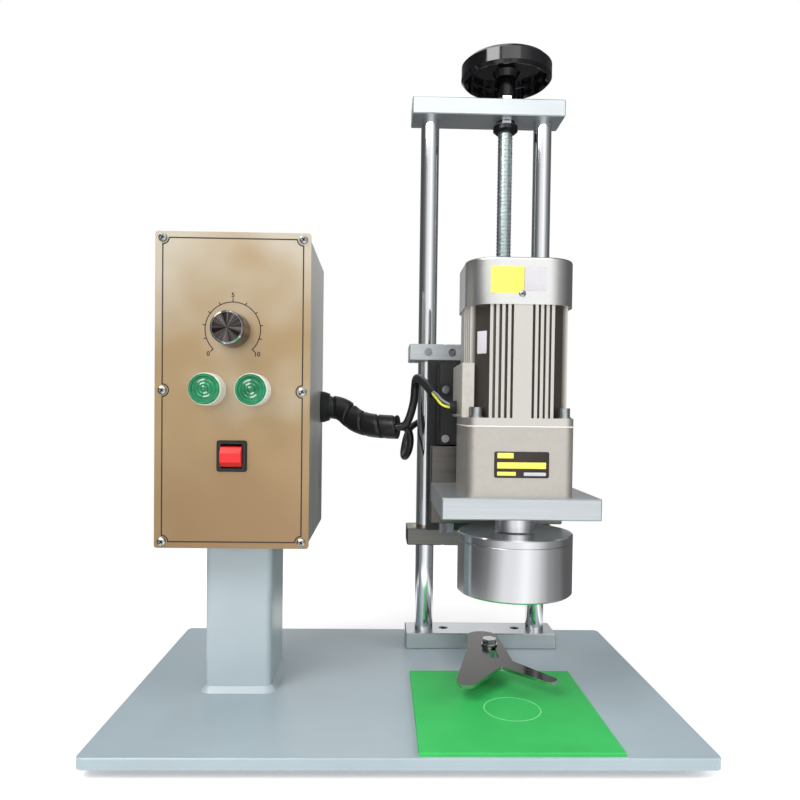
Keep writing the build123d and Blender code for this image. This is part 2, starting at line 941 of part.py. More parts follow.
def stroke_motor():
    """The stroke drive's motor under its moulded cover, on the gear case's left."""
    depth = guide_height + 8
    y = carriage_plate_front - depth / 2
    x = head_x - (gear_case_width - stroke_motor_width) / 2
    cover = slab(stroke_motor_width, depth, stroke_motor_height, x, y, gear_case_top)
    return fillet(cover.edges().filter_by(Axis.Z), 3)


def stroke_screw():
    """The drive screw of the stroke: it turns in the gear case and pulls the slide along."""
    y = slide_front + slide_thickness / 2
    reach = stroke_screw_reach + stroke_gap
    length = reach + stroke_screw_seat - 1
    screw = pin(stroke_screw_radius, length, head_x, y, gear_case_bottom - reach)
    return chamfer(screw.edges().filter_by(GeomType.CIRCLE), 0.8)


def slide_plate():
    y = slide_front + slide_thickness / 2
    plate = slab(plate_width, slide_thickness, slide_height, head_x, y, slide_bottom)
    plate = chamfer(plate.edges(), block_edge)
    plate -= pin(stroke_screw_radius + running_fit, stroke_screw_reach + 1, head_x, y, slide_top - stroke_screw_reach - 1)
    for x in plate_screw_places():
        z = motor_plate_bottom + motor_plate_thickness / 2
        plate -= rod_y(frame_screw_radius + screw_clearance, slide_thickness, x, slide_front, z)
        pocket = 2 * frame_screw_radius + seat_gap
        plate -= rod_y(1.6 * frame_screw_radius + screw_clearance, pocket, x, slide_back - pocket, z)
    return plate


def plate_screw_places():
    return [head_x + side * spread for side in mirrored for spread in (18, 54)]


def plate_screws():
    screws = []
    for x in plate_screw_places():
        z = motor_plate_bottom + motor_plate_thickness / 2
        lying = Rot(-90, 0, 0) * socket_screw(frame_screw_radius - running_fit, slide_thickness, 0, 0, 0)
        screws.append(Pos(x, slide_back - 2 * frame_screw_radius - seat_gap, z) * lying)
    return Compound(screws)


def bolt_places():
    return [
        (head_x + side * bolt_pitch / 2, gearbox_y + end * bolt_pitch / 2)
        for side in mirrored
        for end in mirrored
    ]


def motor_plate():
    """The shelf that carries the gearmotor, butted to the slide plate and screwed from behind."""
    y = slide_front - motor_plate_depth / 2
    plate = slab(plate_width, motor_plate_depth, motor_plate_thickness, head_x, y, motor_plate_bottom)
    plate = chamfer(plate.edges().filter_by(Axis.X) + plate.edges().filter_by(Axis.Z), block_edge)
    plate -= pin(chuck_hub_radius + 3, motor_plate_thickness, head_x, head_y, motor_plate_bottom)
    for x, y in bolt_places():
        plate -= pin(bolt_radius, motor_plate_thickness, x, y, motor_plate_bottom)
    for x in plate_screw_places():
        z = motor_plate_bottom + motor_plate_thickness / 2
        plate -= rod_y(frame_screw_radius, 14, x, slide_front - 14, z)
    return plate


def gearbox():
    """The gearhead: a cast square case, hollow for its two pairs of gears."""
    case = rounded_slab(
        gearbox_size, gearbox_size, gearbox_height, gearbox_corner, head_x, gearbox_y, motor_plate_top
    )
    inner = bolt_pitch - 2 * bolt_radius - 3
    hollow = Rectangle(gearbox_size - 2 * gearbox_wall, inner) + Rectangle(inner, gearbox_size - 2 * gearbox_wall)
    case -= Pos(head_x, gearbox_y, motor_plate_top + 12) * extrude(hollow, gearbox_height)
    case -= pin(output_radius + running_fit, 14, head_x, head_y, motor_plate_top)
    case -= pin(lay_shaft_radius + running_fit, 6, lay_x, lay_y, motor_plate_top + 6)
    for x, y in bolt_places():
        case -= pin(bolt_radius + screw_clearance, gearbox_height, x, y, motor_plate_top)
    return case


def gearbox_bolts():
    """Four long bolts through the motor's flange and the gearbox into the motor plate."""
    bolts = []
    for x, y in bolt_places():
        seat = motor_flange_top + washer_height
        shank = pin(bolt_radius - running_fit, seat - motor_plate_top + bolt_grip, x, y, motor_plate_top - bolt_grip)
        washer = pin(washer_radius, washer_height, x, y, motor_flange_top)
        head = pin(1.7 * bolt_radius, bolt_head_height, x, y, seat)
        head -= Pos(x, y, seat + bolt_head_height / 2) * extrude(RegularPolygon(0.95 * bolt_radius, 6), bolt_head_height)
        bolts.append(shank + washer + head)
    return Compound(bolts)


def fin_outline():
    """The motor extrusion's section: finned on four sides, its corners cut flat over the bolts."""
    half = gearbox_size / 2
    root = half - fin_depth
    side = Rectangle(2 * fin_land, 2 * half)
    for step in range(fin_count):
        reach = fin_land + fin_pitch * (step + 1) - fin_width / 2
        trim = fin_step * step
        for hand in mirrored:
            side += Pos(hand * reach, 0) * Rectangle(fin_width, 2 * (half - trim))
    core = chamfer(Rectangle(2 * root, 2 * root).vertices(), root - motor_corner)
    return core + side + Rot(0, 0, 90) * side


def motor_body():
    """The motor: a square flange below a finned extrusion, with the rotor's space inside."""
    flange = rounded_slab(
        gearbox_size, gearbox_size, motor_flange, gearbox_corner, head_x, gearbox_y, gearbox_top
    )
    fins = Pos(head_x, gearbox_y, motor_flange_top) * extrude(fin_outline(), motor_length)
    body = flange + fins
    body -= pin(rotor_radius + 0.5, rotor_length + 4, head_x, gearbox_y, rotor_bottom - 2)
    body -= pin(rotor_shaft + running_fit, motor_top - gearbox_top, head_x, gearbox_y, gearbox_top)
    body -= pin(lay_shaft_radius + running_fit, 5, lay_x, lay_y, gearbox_top)
    for x, y in bolt_places():
        body -= pin(bolt_radius + screw_clearance, motor_flange, x, y, gearbox_top)
    return body


def gear(teeth, face):
    """A spur gear with involute flanks, thinned a little for backlash. One tooth points to +X."""
    pitch = gear_module * teeth / 2
    base = pitch * math.cos(math.radians(20))
    tip = pitch + gear_module
    root = pitch - 1.25 * gear_module
    inv_pitch = math.tan(math.radians(20)) - math.radians(20)
    half_pitch = math.pi / (2 * teeth) - gear_backlash / (4 * pitch)
    low = max(base, root)
    steps = 3
    flank = []
    for step in range(steps + 1):
        radius = low + (tip - low) * step / steps
        roll = math.acos(min(1, base / radius))
        half = half_pitch + inv_pitch - (math.tan(roll) - roll)
        flank.append((radius, half))
    points = []
    for tooth in range(teeth):
        middle = 2 * math.pi * tooth / teeth
        right = [(radius, middle - half) for radius, half in flank]
        left = [(radius, middle + half) for radius, half in reversed(flank)]
        start = [(root, right[0][1])] if root < low else []
        end = [(root, left[-1][1])] if root < low else []
        points += start + right + left + end
    outline = Polyline([(r * math.cos(a), r * math.sin(a)) for r, a in points], close=True)
    return extrude(make_face(outline), face)


def motor_rotor():
    """The rotor with its shaft, whose lower end is cut as the first pinion."""
    towards_lay = math.degrees(math.atan2(lay_y - gearbox_y, lay_x - head_x))
    shaft = pin(rotor_shaft, motor_top - gearbox_top + 18, head_x, gearbox_y, gearbox_top)
    core = pin(rotor_radius, rotor_length, head_x, gearbox_y, rotor_bottom)
    stub = pin(3, gearbox_top - upper_gear_z, head_x, gearbox_y, upper_gear_z)
    pinion = Pos(head_x, gearbox_y, upper_gear_z) * Rot(0, 0, towards_lay) * gear(pinion_teeth, gear_face)
    return shaft + core + stub + pinion


def lay_gears():
    """The lay shaft with its large gear above and its pinion below."""
    from_rotor = math.degrees(math.atan2(gearbox_y - lay_y, head_x - lay_x))
    towards_output = math.degrees(math.atan2(head_y - lay_y, head_x - lay_x))
    bottom = motor_plate_top + 6.5
    shaft = pin(lay_shaft_radius, gearbox_top + 4 - bottom, lay_x, lay_y, bottom)
    large = Pos(lay_x, lay_y, upper_gear_z) * Rot(0, 0, from_rotor + 180 / lay_teeth)
    small = Pos(lay_x, lay_y, lower_gear_z) * Rot(0, 0, towards_output)
    cluster = shaft + large * gear(lay_teeth, gear_face)
    return cluster + small * gear(lay_pinion_teeth, gear_face)


def output_gear():
    from_lay = math.degrees(math.atan2(lay_y - head_y, lay_x - head_x))
    wheel = Pos(head_x, head_y, lower_gear_z) * Rot(0, 0, from_lay + 180 / output_teeth)
    wheel = wheel * gear(output_teeth, gear_face)
    return wheel - pin(output_radius + running_fit, gear_face, head_x, head_y, lower_gear_z)


def output_shaft():
    bottom = lid_top - 6
    top = lower_gear_z + gear_face + 2
    shaft = pin(output_radius, top - bottom, head_x, head_y, bottom)
    return chamfer(shaft.edges().filter_by(GeomType.CIRCLE), 0.8)


def fan_cover():
    """The pressed fan cover: a deep tray upside down, with a ring of air slots in its top."""
    outline = RectangleRounded(fan_cover_size, fan_cover_size, fan_cover_corner)
    cover = Pos(head_x, gearbox_y, motor_top) * extrude(outline, fan_cover_height)
    cover = fillet(cover.faces().sort_by(Axis.Z)[-1].edges(), fan_cover_edge)
    inner_size = fan_cover_size - 2 * fan_cover_wall
    inner = RectangleRounded(inner_size, inner_size, fan_cover_corner - fan_cover_wall)
    cover -= Pos(head_x, gearbox_y, motor_top) * extrude(inner, fan_cover_height - fan_cover_wall)
    for step in range(fan_slots):
        turn = Pos(head_x, gearbox_y, motor_top + fan_cover_height) * Rot(0, 0, 360 * step / fan_slots)
        cover -= turn * Pos(fan_slot_radius, 0) * Box(fan_slot_length, fan_slot_width, 4 * fan_cover_wall)
    ring = extrude(outline, 3) - extrude(Circle(gearbox_size / 2 - 2 * fin_depth), 3)
    return cover + Pos(head_x, gearbox_y, motor_top) * ring


def cooling_fan():
    """The rotor's plastic fan: a hub with flat blades."""
    z = motor_top + fan_rise
    hub = pin(fan_hub_radius, fan_hub_height, head_x, gearbox_y, z)
    blade = slab(fan_blade_length, fan_blade_width, fan_blade_height, fan_blade_radius, 0, 0)
    for step in range(fan_blades):
        hub += Pos(head_x, gearbox_y, z) * Rot(0, 0, 360 * step / fan_blades) * blade
    return hub - pin(rotor_shaft + running_fit, fan_hub_height, head_x, gearbox_y, z)


def lead_box():
    """The small box on the motor's left side where its leads come out."""
    x = lead_box_left + lead_box_width / 2
    box = slab(lead_box_width, lead_box_depth, lead_box_height, x, gearbox_y, motor_flange_top)
    box = chamfer(box.faces().sort_by(Axis.X)[0].edges(), 1)
    box -= Pos(head_x, gearbox_y, motor_flange_top) * extrude(fin_outline(), lead_box_height)
    for px, py in bolt_places():
        room = washer_height + bolt_head_height + seat_gap
        box -= pin(washer_radius + seat_gap, room, px, py, motor_flange_top)
    solids = box.solids().sort_by(SortBy.VOLUME)
    return solids[-1]


def wire_grommet():
    neck = grommet_radius - 1
    profile = [(0, 0), (grommet_radius, 0), (grommet_radius, 3), (neck, grommet_length), (0, grommet_length)]
    bush = Rot(0, -90, 0) * turned(profile, 0, 0, 0)
    return Pos(lead_box_left, lead_exit_y, lead_exit_z) * bush


def chuck_lid():
    """The capping head's lid, turned in one with the hub that clamps the gearbox shaft."""
    profile = [
        (output_radius + running_fit, chuck_lid_height - 6),
        (output_radius + running_fit, motor_plate_bottom - chuck_top + 8),
        (chuck_hub_radius, motor_plate_bottom - chuck_top + 8),
        (chuck_hub_radius, chuck_lid_height + 1),
        (chuck_hub_radius + 1, chuck_lid_height),
        (chuck_radius - 1, chuck_lid_height),
        (chuck_radius, chuck_lid_height - 1),
        (chuck_radius, 0.4),
        (chuck_radius - 1, 0),
        (0, 0),
        (0, chuck_lid_height - 6),
    ]
    return turned(profile, head_x, head_y, chuck_top)


def chuck_body():
    """The head itself: a thick aluminium cup, open below, stepped for the rubber pad."""
    inner = chuck_radius - chuck_wall
    roof = chuck_height - 12
    profile = [
        (chuck_radius - 1.5, 0),
        (chuck_radius, 1.5),
        (chuck_radius, chuck_height - 0.4),
        (chuck_radius - 1, chuck_height),
        (0, chuck_height),
        (0, roof),
        (pad_radius + running_fit, roof),
        (pad_radius + running_fit, roof - 10),
        (inner - 4, roof - 10),
        (inner, roof - 14),
        (inner, 0),
    ]
    return turned(profile, head_x, head_y, chuck_bottom)


def chuck_pad():
    """The soft rubber cone that grips the cap."""
    roof = chuck_height - 12
    bottom = roof - pad_height
    profile = [
        (pad_bore, bottom + 4),
        (pad_bore + 4, bottom),
        (pad_radius - 2, bottom),
        (pad_radius, bottom + 6),
        (pad_radius, roof),
        (0, roof),
        (0, roof - 6),
        (pad_bore, roof - 6),
    ]
    return turned(profile, head_x, head_y, chuck_bottom)


def fork_outline():
    """The fork seen from above, from its bolt: a round end, and two arms that part at the apex."""
    sides = [(fork_end[0] + side * fork_end_radius, fork_end[1]) for side in mirrored]
    arms = [sides[0], fork_left_kink, *fork_left_tip, fork_apex, *fork_right_tip, fork_right_kink, sides[1]]
    plate = make_face(Polyline(arms, close=True)) + Pos(*fork_end) * Circle(fork_end_radius)
    rounded = offset(offset(plate, -fork_tip_radius), fork_tip_radius)
    return offset(offset(rounded, fork_tip_radius / 2), -fork_tip_radius / 2)


def bottle_fork():
    """The stainless fork that a bottle is pushed into, on its pillar."""
    plate = extrude(fork_outline(), fork_thickness)
    slot = SlotCenterToCenter(fork_slot_length, 2 * fork_slot_half)
    plate -= Pos(0, -fork_slot_length / 2, 0) * Rot(0, 0, 90) * extrude(slot, fork_thickness)
    return Pos(fork_x, fork_y, base_top + fork_rise) * plate


def fork_pillar():
    profile = [
        (fork_bolt_radius + running_fit, 0),
        (fork_pillar_radius, 0),
        (fork_pillar_radius, fork_rise),
        (fork_bolt_radius + running_fit, fork_rise),
    ]
    return turned(profile, fork_x, fork_y, base_top)


def fork_bolt():
    """The hexagon bolt and washer that clamp the fork down on its pillar."""
    z = base_top + fork_rise + fork_thickness
    shank = pin(fork_bolt_radius - running_fit, z - base_top + 7, fork_x, fork_y, base_top - 7)
    washer = pin(8, 1.6, fork_x, fork_y, z)
    head = Pos(fork_x, fork_y, z + 1.6) * Rot(0, 0, 12) * extrude(RegularPolygon(7.4, 6), 5.3)
    return shank + washer + head


def lead_path(points):
    """Straight runs joined by tangent arcs, each as large as its two runs allow."""
    places = [Vector(*point) for point in points]
    radii = []
    for before, here, after in zip(places, places[1:], places[2:]):
        turn = math.radians((here - before).get_angle(after - here))
        run = min((here - before).length, (after - here).length)
        radii.append(0.45 * run / math.tan(turn / 2))
    print("radii", [round(radius, 1) for radius in radii])
    return FilletPolyline(*[tuple(place) for place in places], radius=radii)


def lead(name, points, radius):
    path = lead_path(points)
    start = path @ 0
    tube = sweep(Plane(start, z_dir=path % 0) * Circle(radius), path)
    share = tube.volume / (math.pi * radius**2 * path.length)
    print(name, "length", round(path.length, 1), "volume share", round(share, 4))
    return tube


trunk_points = [
    (control_x + box_width / 2 + gland_length, gland_y, box_bottom + gland_rise),
    (-60, gland_y, box_bottom + gland_rise),
    (-46, 54, 265),
    (-25, 43, 259.5),
    (-2, 36, 259.5),
]
motor_lead_points = [
    (-3.5, 30.2, 259.5),
    (4.9, 27.6, 259.5),
    (10, 27, 270),
    (14, 29, 286),
    (14.5, 26, 301),
    (15, 14, 309),
    (18, -2, 303),
    (22, -17, 294),
    (24, -31, 285),
    (28, -41, 281),
    (34.2, lead_exit_y, lead_exit_z),
    (lead_box_left - grommet_length, lead_exit_y, lead_exit_z),
]
stroke_lead_points = [
    (-0.1, 42.2, 259.5),
    (7.5, 39.9, 259.5),
    (12, 44, 250),
    (11, 50, 236),
    (7, 60, 227),
    (5, 74, 229),
    (7, 90, 240),
    (10, 107, 250),
    (15, 122, 258),
    (28, 131, 266),
    (45, 129, 271),
    (58, 117, 272),
    (61, 106, 272),
    (61, carriage_plate_back, 272),
]

os.makedirs("parts", exist_ok=True)
left_button, right_button = button_places()
pieces = {
    "base_plate": base_plate(),
    "rubber_feet": rubber_feet(),
    "bottle_mat": bottle_mat(),
    "control_post": control_post(),
    "box_housing": box_housing(),
    "front_panel": front_panel(),
    "panel_screws": panel_screws(),
    "potentiometer": potentiometer(),
    "potentiometer_shaft": potentiometer_shaft(),
    "speed_knob": speed_knob(),
    "button_bodies": button_bodies(),
    "button_cap_left": button_cap(left_button),
    "button_cap_right": button_cap(right_button),
    "rocker_housing": rocker_housing(),
    "rocker_key": rocker_key(),
    "speed_controller": speed_controller(),
    "mains_inlet": mains_inlet(),
    "cable_gland": cable_gland(),
    "foot_block": foot_block(),
    "columns": columns(),
    "top_plate": top_plate(),
    "stand_screws": stand_screws(),
    "screw_bearing": screw_bearing(),
    "lead_screw": lead_screw(),
    "screw_collar": screw_collar(),
    "lock_nuts": lock_nuts(),
    "handwheel": handwheel(),
    "upper_block": upper_block(),
    "lower_block": lower_block(),
    "column_bushes": column_bushes(),
    "lead_nut": lead_nut(),
    "carriage_plate": carriage_plate(),
    "carriage_screws": carriage_screws(),
    "guide_rails": guide_rails(),
    "runner_blocks": runner_blocks(),
    "stroke_gear_case": stroke_gear_case(),
    "stroke_motor": stroke_motor(),
    "stroke_screw": stroke_screw(),
    "slide_plate": slide_plate(),
    "plate_screws": plate_screws(),
    "motor_plate": motor_plate(),
    "gearbox": gearbox(),
    "gearbox_bolts": gearbox_bolts(),
    "motor_body": motor_body(),
    "motor_rotor": motor_rotor(),
    "lay_gears": lay_gears(),
    "output_gear": output_gear(),
    "output_shaft": output_shaft(),
    "fan_cover": fan_cover(),
    "cooling_fan": cooling_fan(),
    "lead_box": lead_box(),
    "wire_grommet": wire_grommet(),
    "chuck_lid": chuck_lid(),
    "chuck_body": chuck_body(),
    "chuck_pad": chuck_pad(),
    "bottle_fork": bottle_fork(),
    "fork_fasteners": Compound([fork_pillar(), fork_bolt()]),
    "cable_trunk": lead("cable_trunk", trunk_points, trunk_radius),
    "motor_lead": lead("motor_lead", motor_lead_points, motor_lead_radius),
    "stroke_lead": lead("stroke_lead", stroke_lead_points, stroke_lead_radius),
}
for name, piece in pieces.items():
    save(piece, name)
print(len(pieces), "pieces")
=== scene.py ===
import math
import bmesh
import bpy
from mathutils import Matrix, Vector


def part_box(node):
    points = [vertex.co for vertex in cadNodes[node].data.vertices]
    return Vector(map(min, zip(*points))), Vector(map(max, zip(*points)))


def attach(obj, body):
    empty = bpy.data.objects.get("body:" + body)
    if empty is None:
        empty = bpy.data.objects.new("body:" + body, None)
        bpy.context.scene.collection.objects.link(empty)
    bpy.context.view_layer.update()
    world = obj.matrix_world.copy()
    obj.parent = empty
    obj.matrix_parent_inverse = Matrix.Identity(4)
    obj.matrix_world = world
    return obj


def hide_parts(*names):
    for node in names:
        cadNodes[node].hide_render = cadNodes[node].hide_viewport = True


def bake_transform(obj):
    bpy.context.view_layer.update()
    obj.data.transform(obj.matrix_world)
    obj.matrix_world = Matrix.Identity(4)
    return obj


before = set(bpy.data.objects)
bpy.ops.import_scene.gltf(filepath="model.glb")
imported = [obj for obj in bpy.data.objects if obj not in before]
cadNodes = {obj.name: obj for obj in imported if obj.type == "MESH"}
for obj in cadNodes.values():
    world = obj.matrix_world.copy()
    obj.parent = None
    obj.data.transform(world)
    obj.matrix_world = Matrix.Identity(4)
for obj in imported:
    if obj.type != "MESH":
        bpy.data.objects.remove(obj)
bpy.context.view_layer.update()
print("frame loaded:", len(cadNodes), "nodes")


def deselectAll():
    for item in bpy.context.selected_objects:
        item.select_set(False)


def pick(item):
    deselectAll()
    item.select_set(True)
    bpy.context.view_layer.objects.active = item


def linkedItem(name, data):
    item = bpy.data.objects.new(name, data)
    bpy.context.scene.collection.objects.link(item)
    return item


def meshItem(name, builder):  # an object out of a finished bmesh
    mesh = bpy.data.meshes.new(name)
    builder.to_mesh(mesh)
    builder.free()
    return linkedItem(name, mesh)


def joinPieces(items, name):
    deselectAll()
    for item in items:
        item.select_set(True)
    bpy.context.view_layer.objects.active = items[0]
    bpy.ops.object.join()
    items[0].name = name
    items[0].data.name = name
    return items[0]


def applyPlace(item):
    pick(item)
    bpy.ops.object.transform_apply(location=True, rotation=True, scale=True)


def smoothItem(item, degrees):  # flat where faces meet more sharply than this
    pick(item)
    bpy.ops.object.shade_smooth_by_angle(angle=math.radians(degrees))


def weldItem(item, reach):  # joins doubled points and turns the faces outward
    pick(item)
    bpy.ops.object.mode_set(mode="EDIT")
    bpy.ops.mesh.select_all(action="SELECT")
    bpy.ops.mesh.remove_doubles(threshold=reach)
    bpy.ops.mesh.normals_make_consistent(inside=False)
    bpy.ops.object.mode_set(mode="OBJECT")


def finishPiece(item, name, body, finish):  # named, placed, dressed and carried
    item.name = name
    item.data.name = name
    applyPlace(item)
    item.data.materials.clear()
    item.data.materials.append(finishes[finish])
    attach(item, body)


def middleOf(node):  # the middle of a CAD node's box
    low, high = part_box(node)
    return (Vector(low) + Vector(high)) / 2


def selectEdges(item, test):  # in edit mode, by an edge's direction and middle
    mesh = bmesh.from_edit_mesh(item.data)
    bpy.ops.mesh.select_mode(type="EDGE")
    bpy.ops.mesh.select_all(action="DESELECT")
    for edge in mesh.edges:
        first, second = edge.verts[0].co, edge.verts[1].co
        if test((second - first).normalized(), (first + second) / 2):
            edge.select_set(True)
    bmesh.update_edit_mesh(item.data)


# Camera: where the photograph was taken from, matched on the base, the box and the mast
camera = {
    "place": (-0.01918, -0.67967, 0.27545),
    "turn": -0.02428,
    "dip": 0.02304,
    "roll": 0.01277,
    "focalPixels": 709.79,
    "imagePixels": 800,
    "centre": (-2.2, 27.6),
    "sensor": 36,
    "clip": (0.01, 50),
}


def buildCamera(spec):
    data = bpy.data.cameras.new("photoCamera")
    data.sensor_fit = "HORIZONTAL"
    data.sensor_width = spec["sensor"]
    data.lens = spec["sensor"] * spec["focalPixels"] / spec["imagePixels"]
    data.shift_x = -spec["centre"][0] / spec["imagePixels"]
    data.shift_y = spec["centre"][1] / spec["imagePixels"]
    data.clip_start, data.clip_end = spec["clip"]
    right = Vector((math.cos(spec["turn"]), math.sin(spec["turn"]), 0))
    ahead = Vector((-math.sin(spec["turn"]), math.cos(spec["turn"]), 0))
    up = Vector((0, 0, 1))
    forward = math.cos(spec["dip"]) * ahead - math.sin(spec["dip"]) * up
    rise = math.sin(spec["dip"]) * ahead + math.cos(spec["dip"]) * up
    side = math.cos(spec["roll"]) * right + math.sin(spec["roll"]) * rise
    top = math.cos(spec["roll"]) * rise - math.sin(spec["roll"]) * right
    item = linkedItem("photoCamera", data)
    matrix = Matrix((side, top, -forward)).transposed().to_4x4()
    matrix.translation = Vector(spec["place"])
    item.matrix_world = matrix
    bpy.context.scene.camera = item


buildCamera(camera)
print("camera set")


# Nodes that the room, the floor and the finishes share
def shade(red, green, blue):  # a colour as the screen shows it, 0 to 255
    values = []
    for part in (red, green, blue):
        level = part / 255
        values.append(level / 12.92 if level <= 0.04045 else ((level + 0.055) / 1.055) ** 2.4)
    return (*values, 1.0)


def grey(level):
    return (level, level, level, 1.0)


def feed(tree, slot, source):  # links an output, or sets a plain value
    if isinstance(source, bpy.types.NodeSocket):
        tree.links.new(source, slot)
    else:
        slot.default_value = source


def addMath(tree, operation, *sources):
    node = tree.nodes.new("ShaderNodeMath")
    node.operation = operation
    for slot, source in zip(node.inputs, sources):
        feed(tree, slot, source)
    return node.outputs[0]


def addVectorMath(tree, operation, *sources):
    node = tree.nodes.new("ShaderNodeVectorMath")
    node.operation = operation
    for slot, source in zip(node.inputs, sources):
        feed(tree, slot, source)
    return node.outputs["Value" if operation == "LENGTH" else "Vector"]


def addShader(tree, kind, **sources):
    node = tree.nodes.new(kind)
    for name, source in sources.items():
        feed(tree, node.inputs[name], source)
    return node.outputs[0]


def mixShaders(tree, share, first, second):
    node = tree.nodes.new("ShaderNodeMixShader")
    for slot, source in zip(node.inputs, (share, first, second)):
        tree.links.new(source, slot)
    return node.outputs[0]


def splitVector(tree, vector):
    node = tree.nodes.new("ShaderNodeSeparateXYZ")
    tree.links.new(vector, node.inputs[0])
    return node.outputs


def addRange(tree, source, low, high, fromLow=0.3, fromHigh=0.7, easing="LINEAR"):
    node = tree.nodes.new("ShaderNodeMapRange")
    node.interpolation_type = easing
    node.inputs["From Min"].default_value = fromLow
    node.inputs["From Max"].default_value = fromHigh
    node.inputs["To Min"].default_value = low
    node.inputs["To Max"].default_value = high
    tree.links.new(source, node.inputs["Value"])
    return node.outputs["Result"]


# Studio: a white room with a bright front, dark sides for the metals, and a white floor
studio = {
    "roomLevel": 0.52,
    "mirrorBands": [  # what the metals see round the room: degrees from straight ahead, minus is left
        (-180, 1.0), (-172, 1.0), (-160, 0.14), (-100, 0.08), (-75, 0.12), (-55, 0.2), (-40, 0.44),
        (-30, 0.68), (-20, 0.94), (-6, 0.96), (5, 1.05), (12, 1.2), (19, 1.25), (27, 1.05), (36, 0.9),
        (46, 0.6), (58, 0.34), (76, 0.24), (95, 0.12), (160, 0.12), (172, 1.0), (180, 1.0),
    ],
    "floorWhite": 0.82,
    "floorGlow": 0.3,
    "floorClear": (0.42, 1.1),  # from here the floor fades to plain white
    "floorMirror": (0.3, 0.42),  # beyond here the metals see the room's bands in it
    "floorBack": 0.07,  # behind the machine, as the undersides see it
    "floorSize": 12,
}
lamps = [
    {"name": "keyBox", "place": (-1.2, -1.3, 1.9), "aim": (0, 0, 0.25), "size": (1.2, 1.2), "power": 40,
     "mirrored": True},
    {"name": "frontBox", "place": (0.2, -2.2, 2.0), "aim": (0, 0, 0.2), "size": (2.0, 1.0), "power": 9,
     "mirrored": True},
    {"name": "rightBox", "place": (1.75, -0.35, 1.0), "aim": (0, 0, 0.3), "size": (1.0, 1.5), "power": 24,
     "mirrored": False},
    {"name": "topBox", "place": (0.1, 0.1, 2.2), "aim": (0, 0, 0), "size": (1.4, 1.0), "power": 1.5,
     "mirrored": True},
    {"name": "frontFill", "place": (0.0, -2.4, 0.5), "aim": (0, 0, 0.25), "size": (2.0, 0.8), "power": 20,
     "mirrored": False},
]


def roomBands(tree, vector, bandList):  # light and dark bands by the way round from straight ahead
    way = splitVector(tree, vector)
    turn = addMath(tree, "ARCTAN2", way["X"], addMath(tree, "MULTIPLY", way["Y"], -1))
    share = addRange(tree, turn, 0, 1, -math.pi, math.pi)
    bands = tree.nodes.new("ShaderNodeValToRGB")
    bands.color_ramp.interpolation = "EASE"
    tree.links.new(share, bands.inputs["Fac"])
    stops = [((place + 180) / 360, level) for place, level in bandList]
    for place, level in stops[1:-1]:
        bands.color_ramp.elements.new(place)
    for element, (place, level) in zip(bands.color_ramp.elements, stops):
        element.color = grey(level)
    return bands.outputs["Color"]


def buildWorld(spec):
    world = bpy.data.worlds.new("whiteRoom")
    bpy.context.scene.world = world
    world.use_nodes = True
    tree = world.node_tree
    tree.nodes.clear()
    rays = tree.nodes.new("ShaderNodeLightPath").outputs
    direction = tree.nodes.new("ShaderNodeTexCoord").outputs["Generated"]
    room = addShader(tree, "ShaderNodeBackground", Color=grey(spec["roomLevel"]))
    mirror = addShader(tree, "ShaderNodeBackground", Color=roomBands(tree, direction, spec["mirrorBands"]))
    sky = addShader(tree, "ShaderNodeBackground", Color=grey(1))
    seen = addMath(tree, "MAXIMUM", rays["Is Camera Ray"], rays["Is Transmission Ray"])
    lit = mixShaders(tree, rays["Is Glossy Ray"], room, mirror)
    out = tree.nodes.new("ShaderNodeOutputWorld")
    tree.links.new(mixShaders(tree, seen, lit, sky), out.inputs["Surface"])


def buildFloor(spec):
    deselectAll()
    bpy.ops.mesh.primitive_plane_add(size=spec["floorSize"], location=(0, 0, 0))
    floor = bpy.context.object
    floor.name = "studioFloor"
    material = bpy.data.materials.new("whiteFloor")
    material.use_nodes = True
    tree = material.node_tree
    tree.nodes.clear()
    rays = tree.nodes.new("ShaderNodeLightPath").outputs
    seen = addMath(tree, "MAXIMUM", rays["Is Camera Ray"], rays["Is Glossy Ray"])
    paper = tree.nodes.new("ShaderNodeAddShader")
    white = addShader(tree, "ShaderNodeBsdfDiffuse", Color=grey(spec["floorWhite"]))
    glow = addShader(tree, "ShaderNodeEmission", Strength=addMath(tree, "MULTIPLY", seen, spec["floorGlow"]))
    tree.links.new(white, paper.inputs[0])
    tree.links.new(glow, paper.inputs[1])
    place = tree.nodes.new("ShaderNodeTexCoord").outputs["Object"]
    reach = addVectorMath(tree, "LENGTH", place)
    fade = addRange(tree, reach, 0, 1, *spec["floorClear"], "SMOOTHSTEP")
    near = addRange(tree, reach, 0, 1, *spec["floorMirror"])
    clearShare = addMath(tree, "MULTIPLY", fade, rays["Is Camera Ray"])
    mirrorShare = addMath(tree, "MULTIPLY", near, rays["Is Glossy Ray"])
    floorBands = [(-180, spec["floorBack"])] + spec["mirrorBands"][2:-2] + [(180, spec["floorBack"])]
    tint = tree.nodes.new("ShaderNodeMix")
    tint.data_type = "RGBA"
    tint.inputs["A"].default_value = grey(1)
    tree.links.new(rays["Is Glossy Ray"], tint.inputs["Factor"])
    tree.links.new(roomBands(tree, place, floorBands), tint.inputs["B"])
    clear = addShader(tree, "ShaderNodeEmission", Color=tint.outputs["Result"])
    share = addMath(tree, "MAXIMUM", clearShare, mirrorShare)
    out = tree.nodes.new("ShaderNodeOutputMaterial")
    tree.links.new(mixShaders(tree, share, paper.outputs[0], clear), out.inputs["Surface"])
    floor.data.materials.append(material)


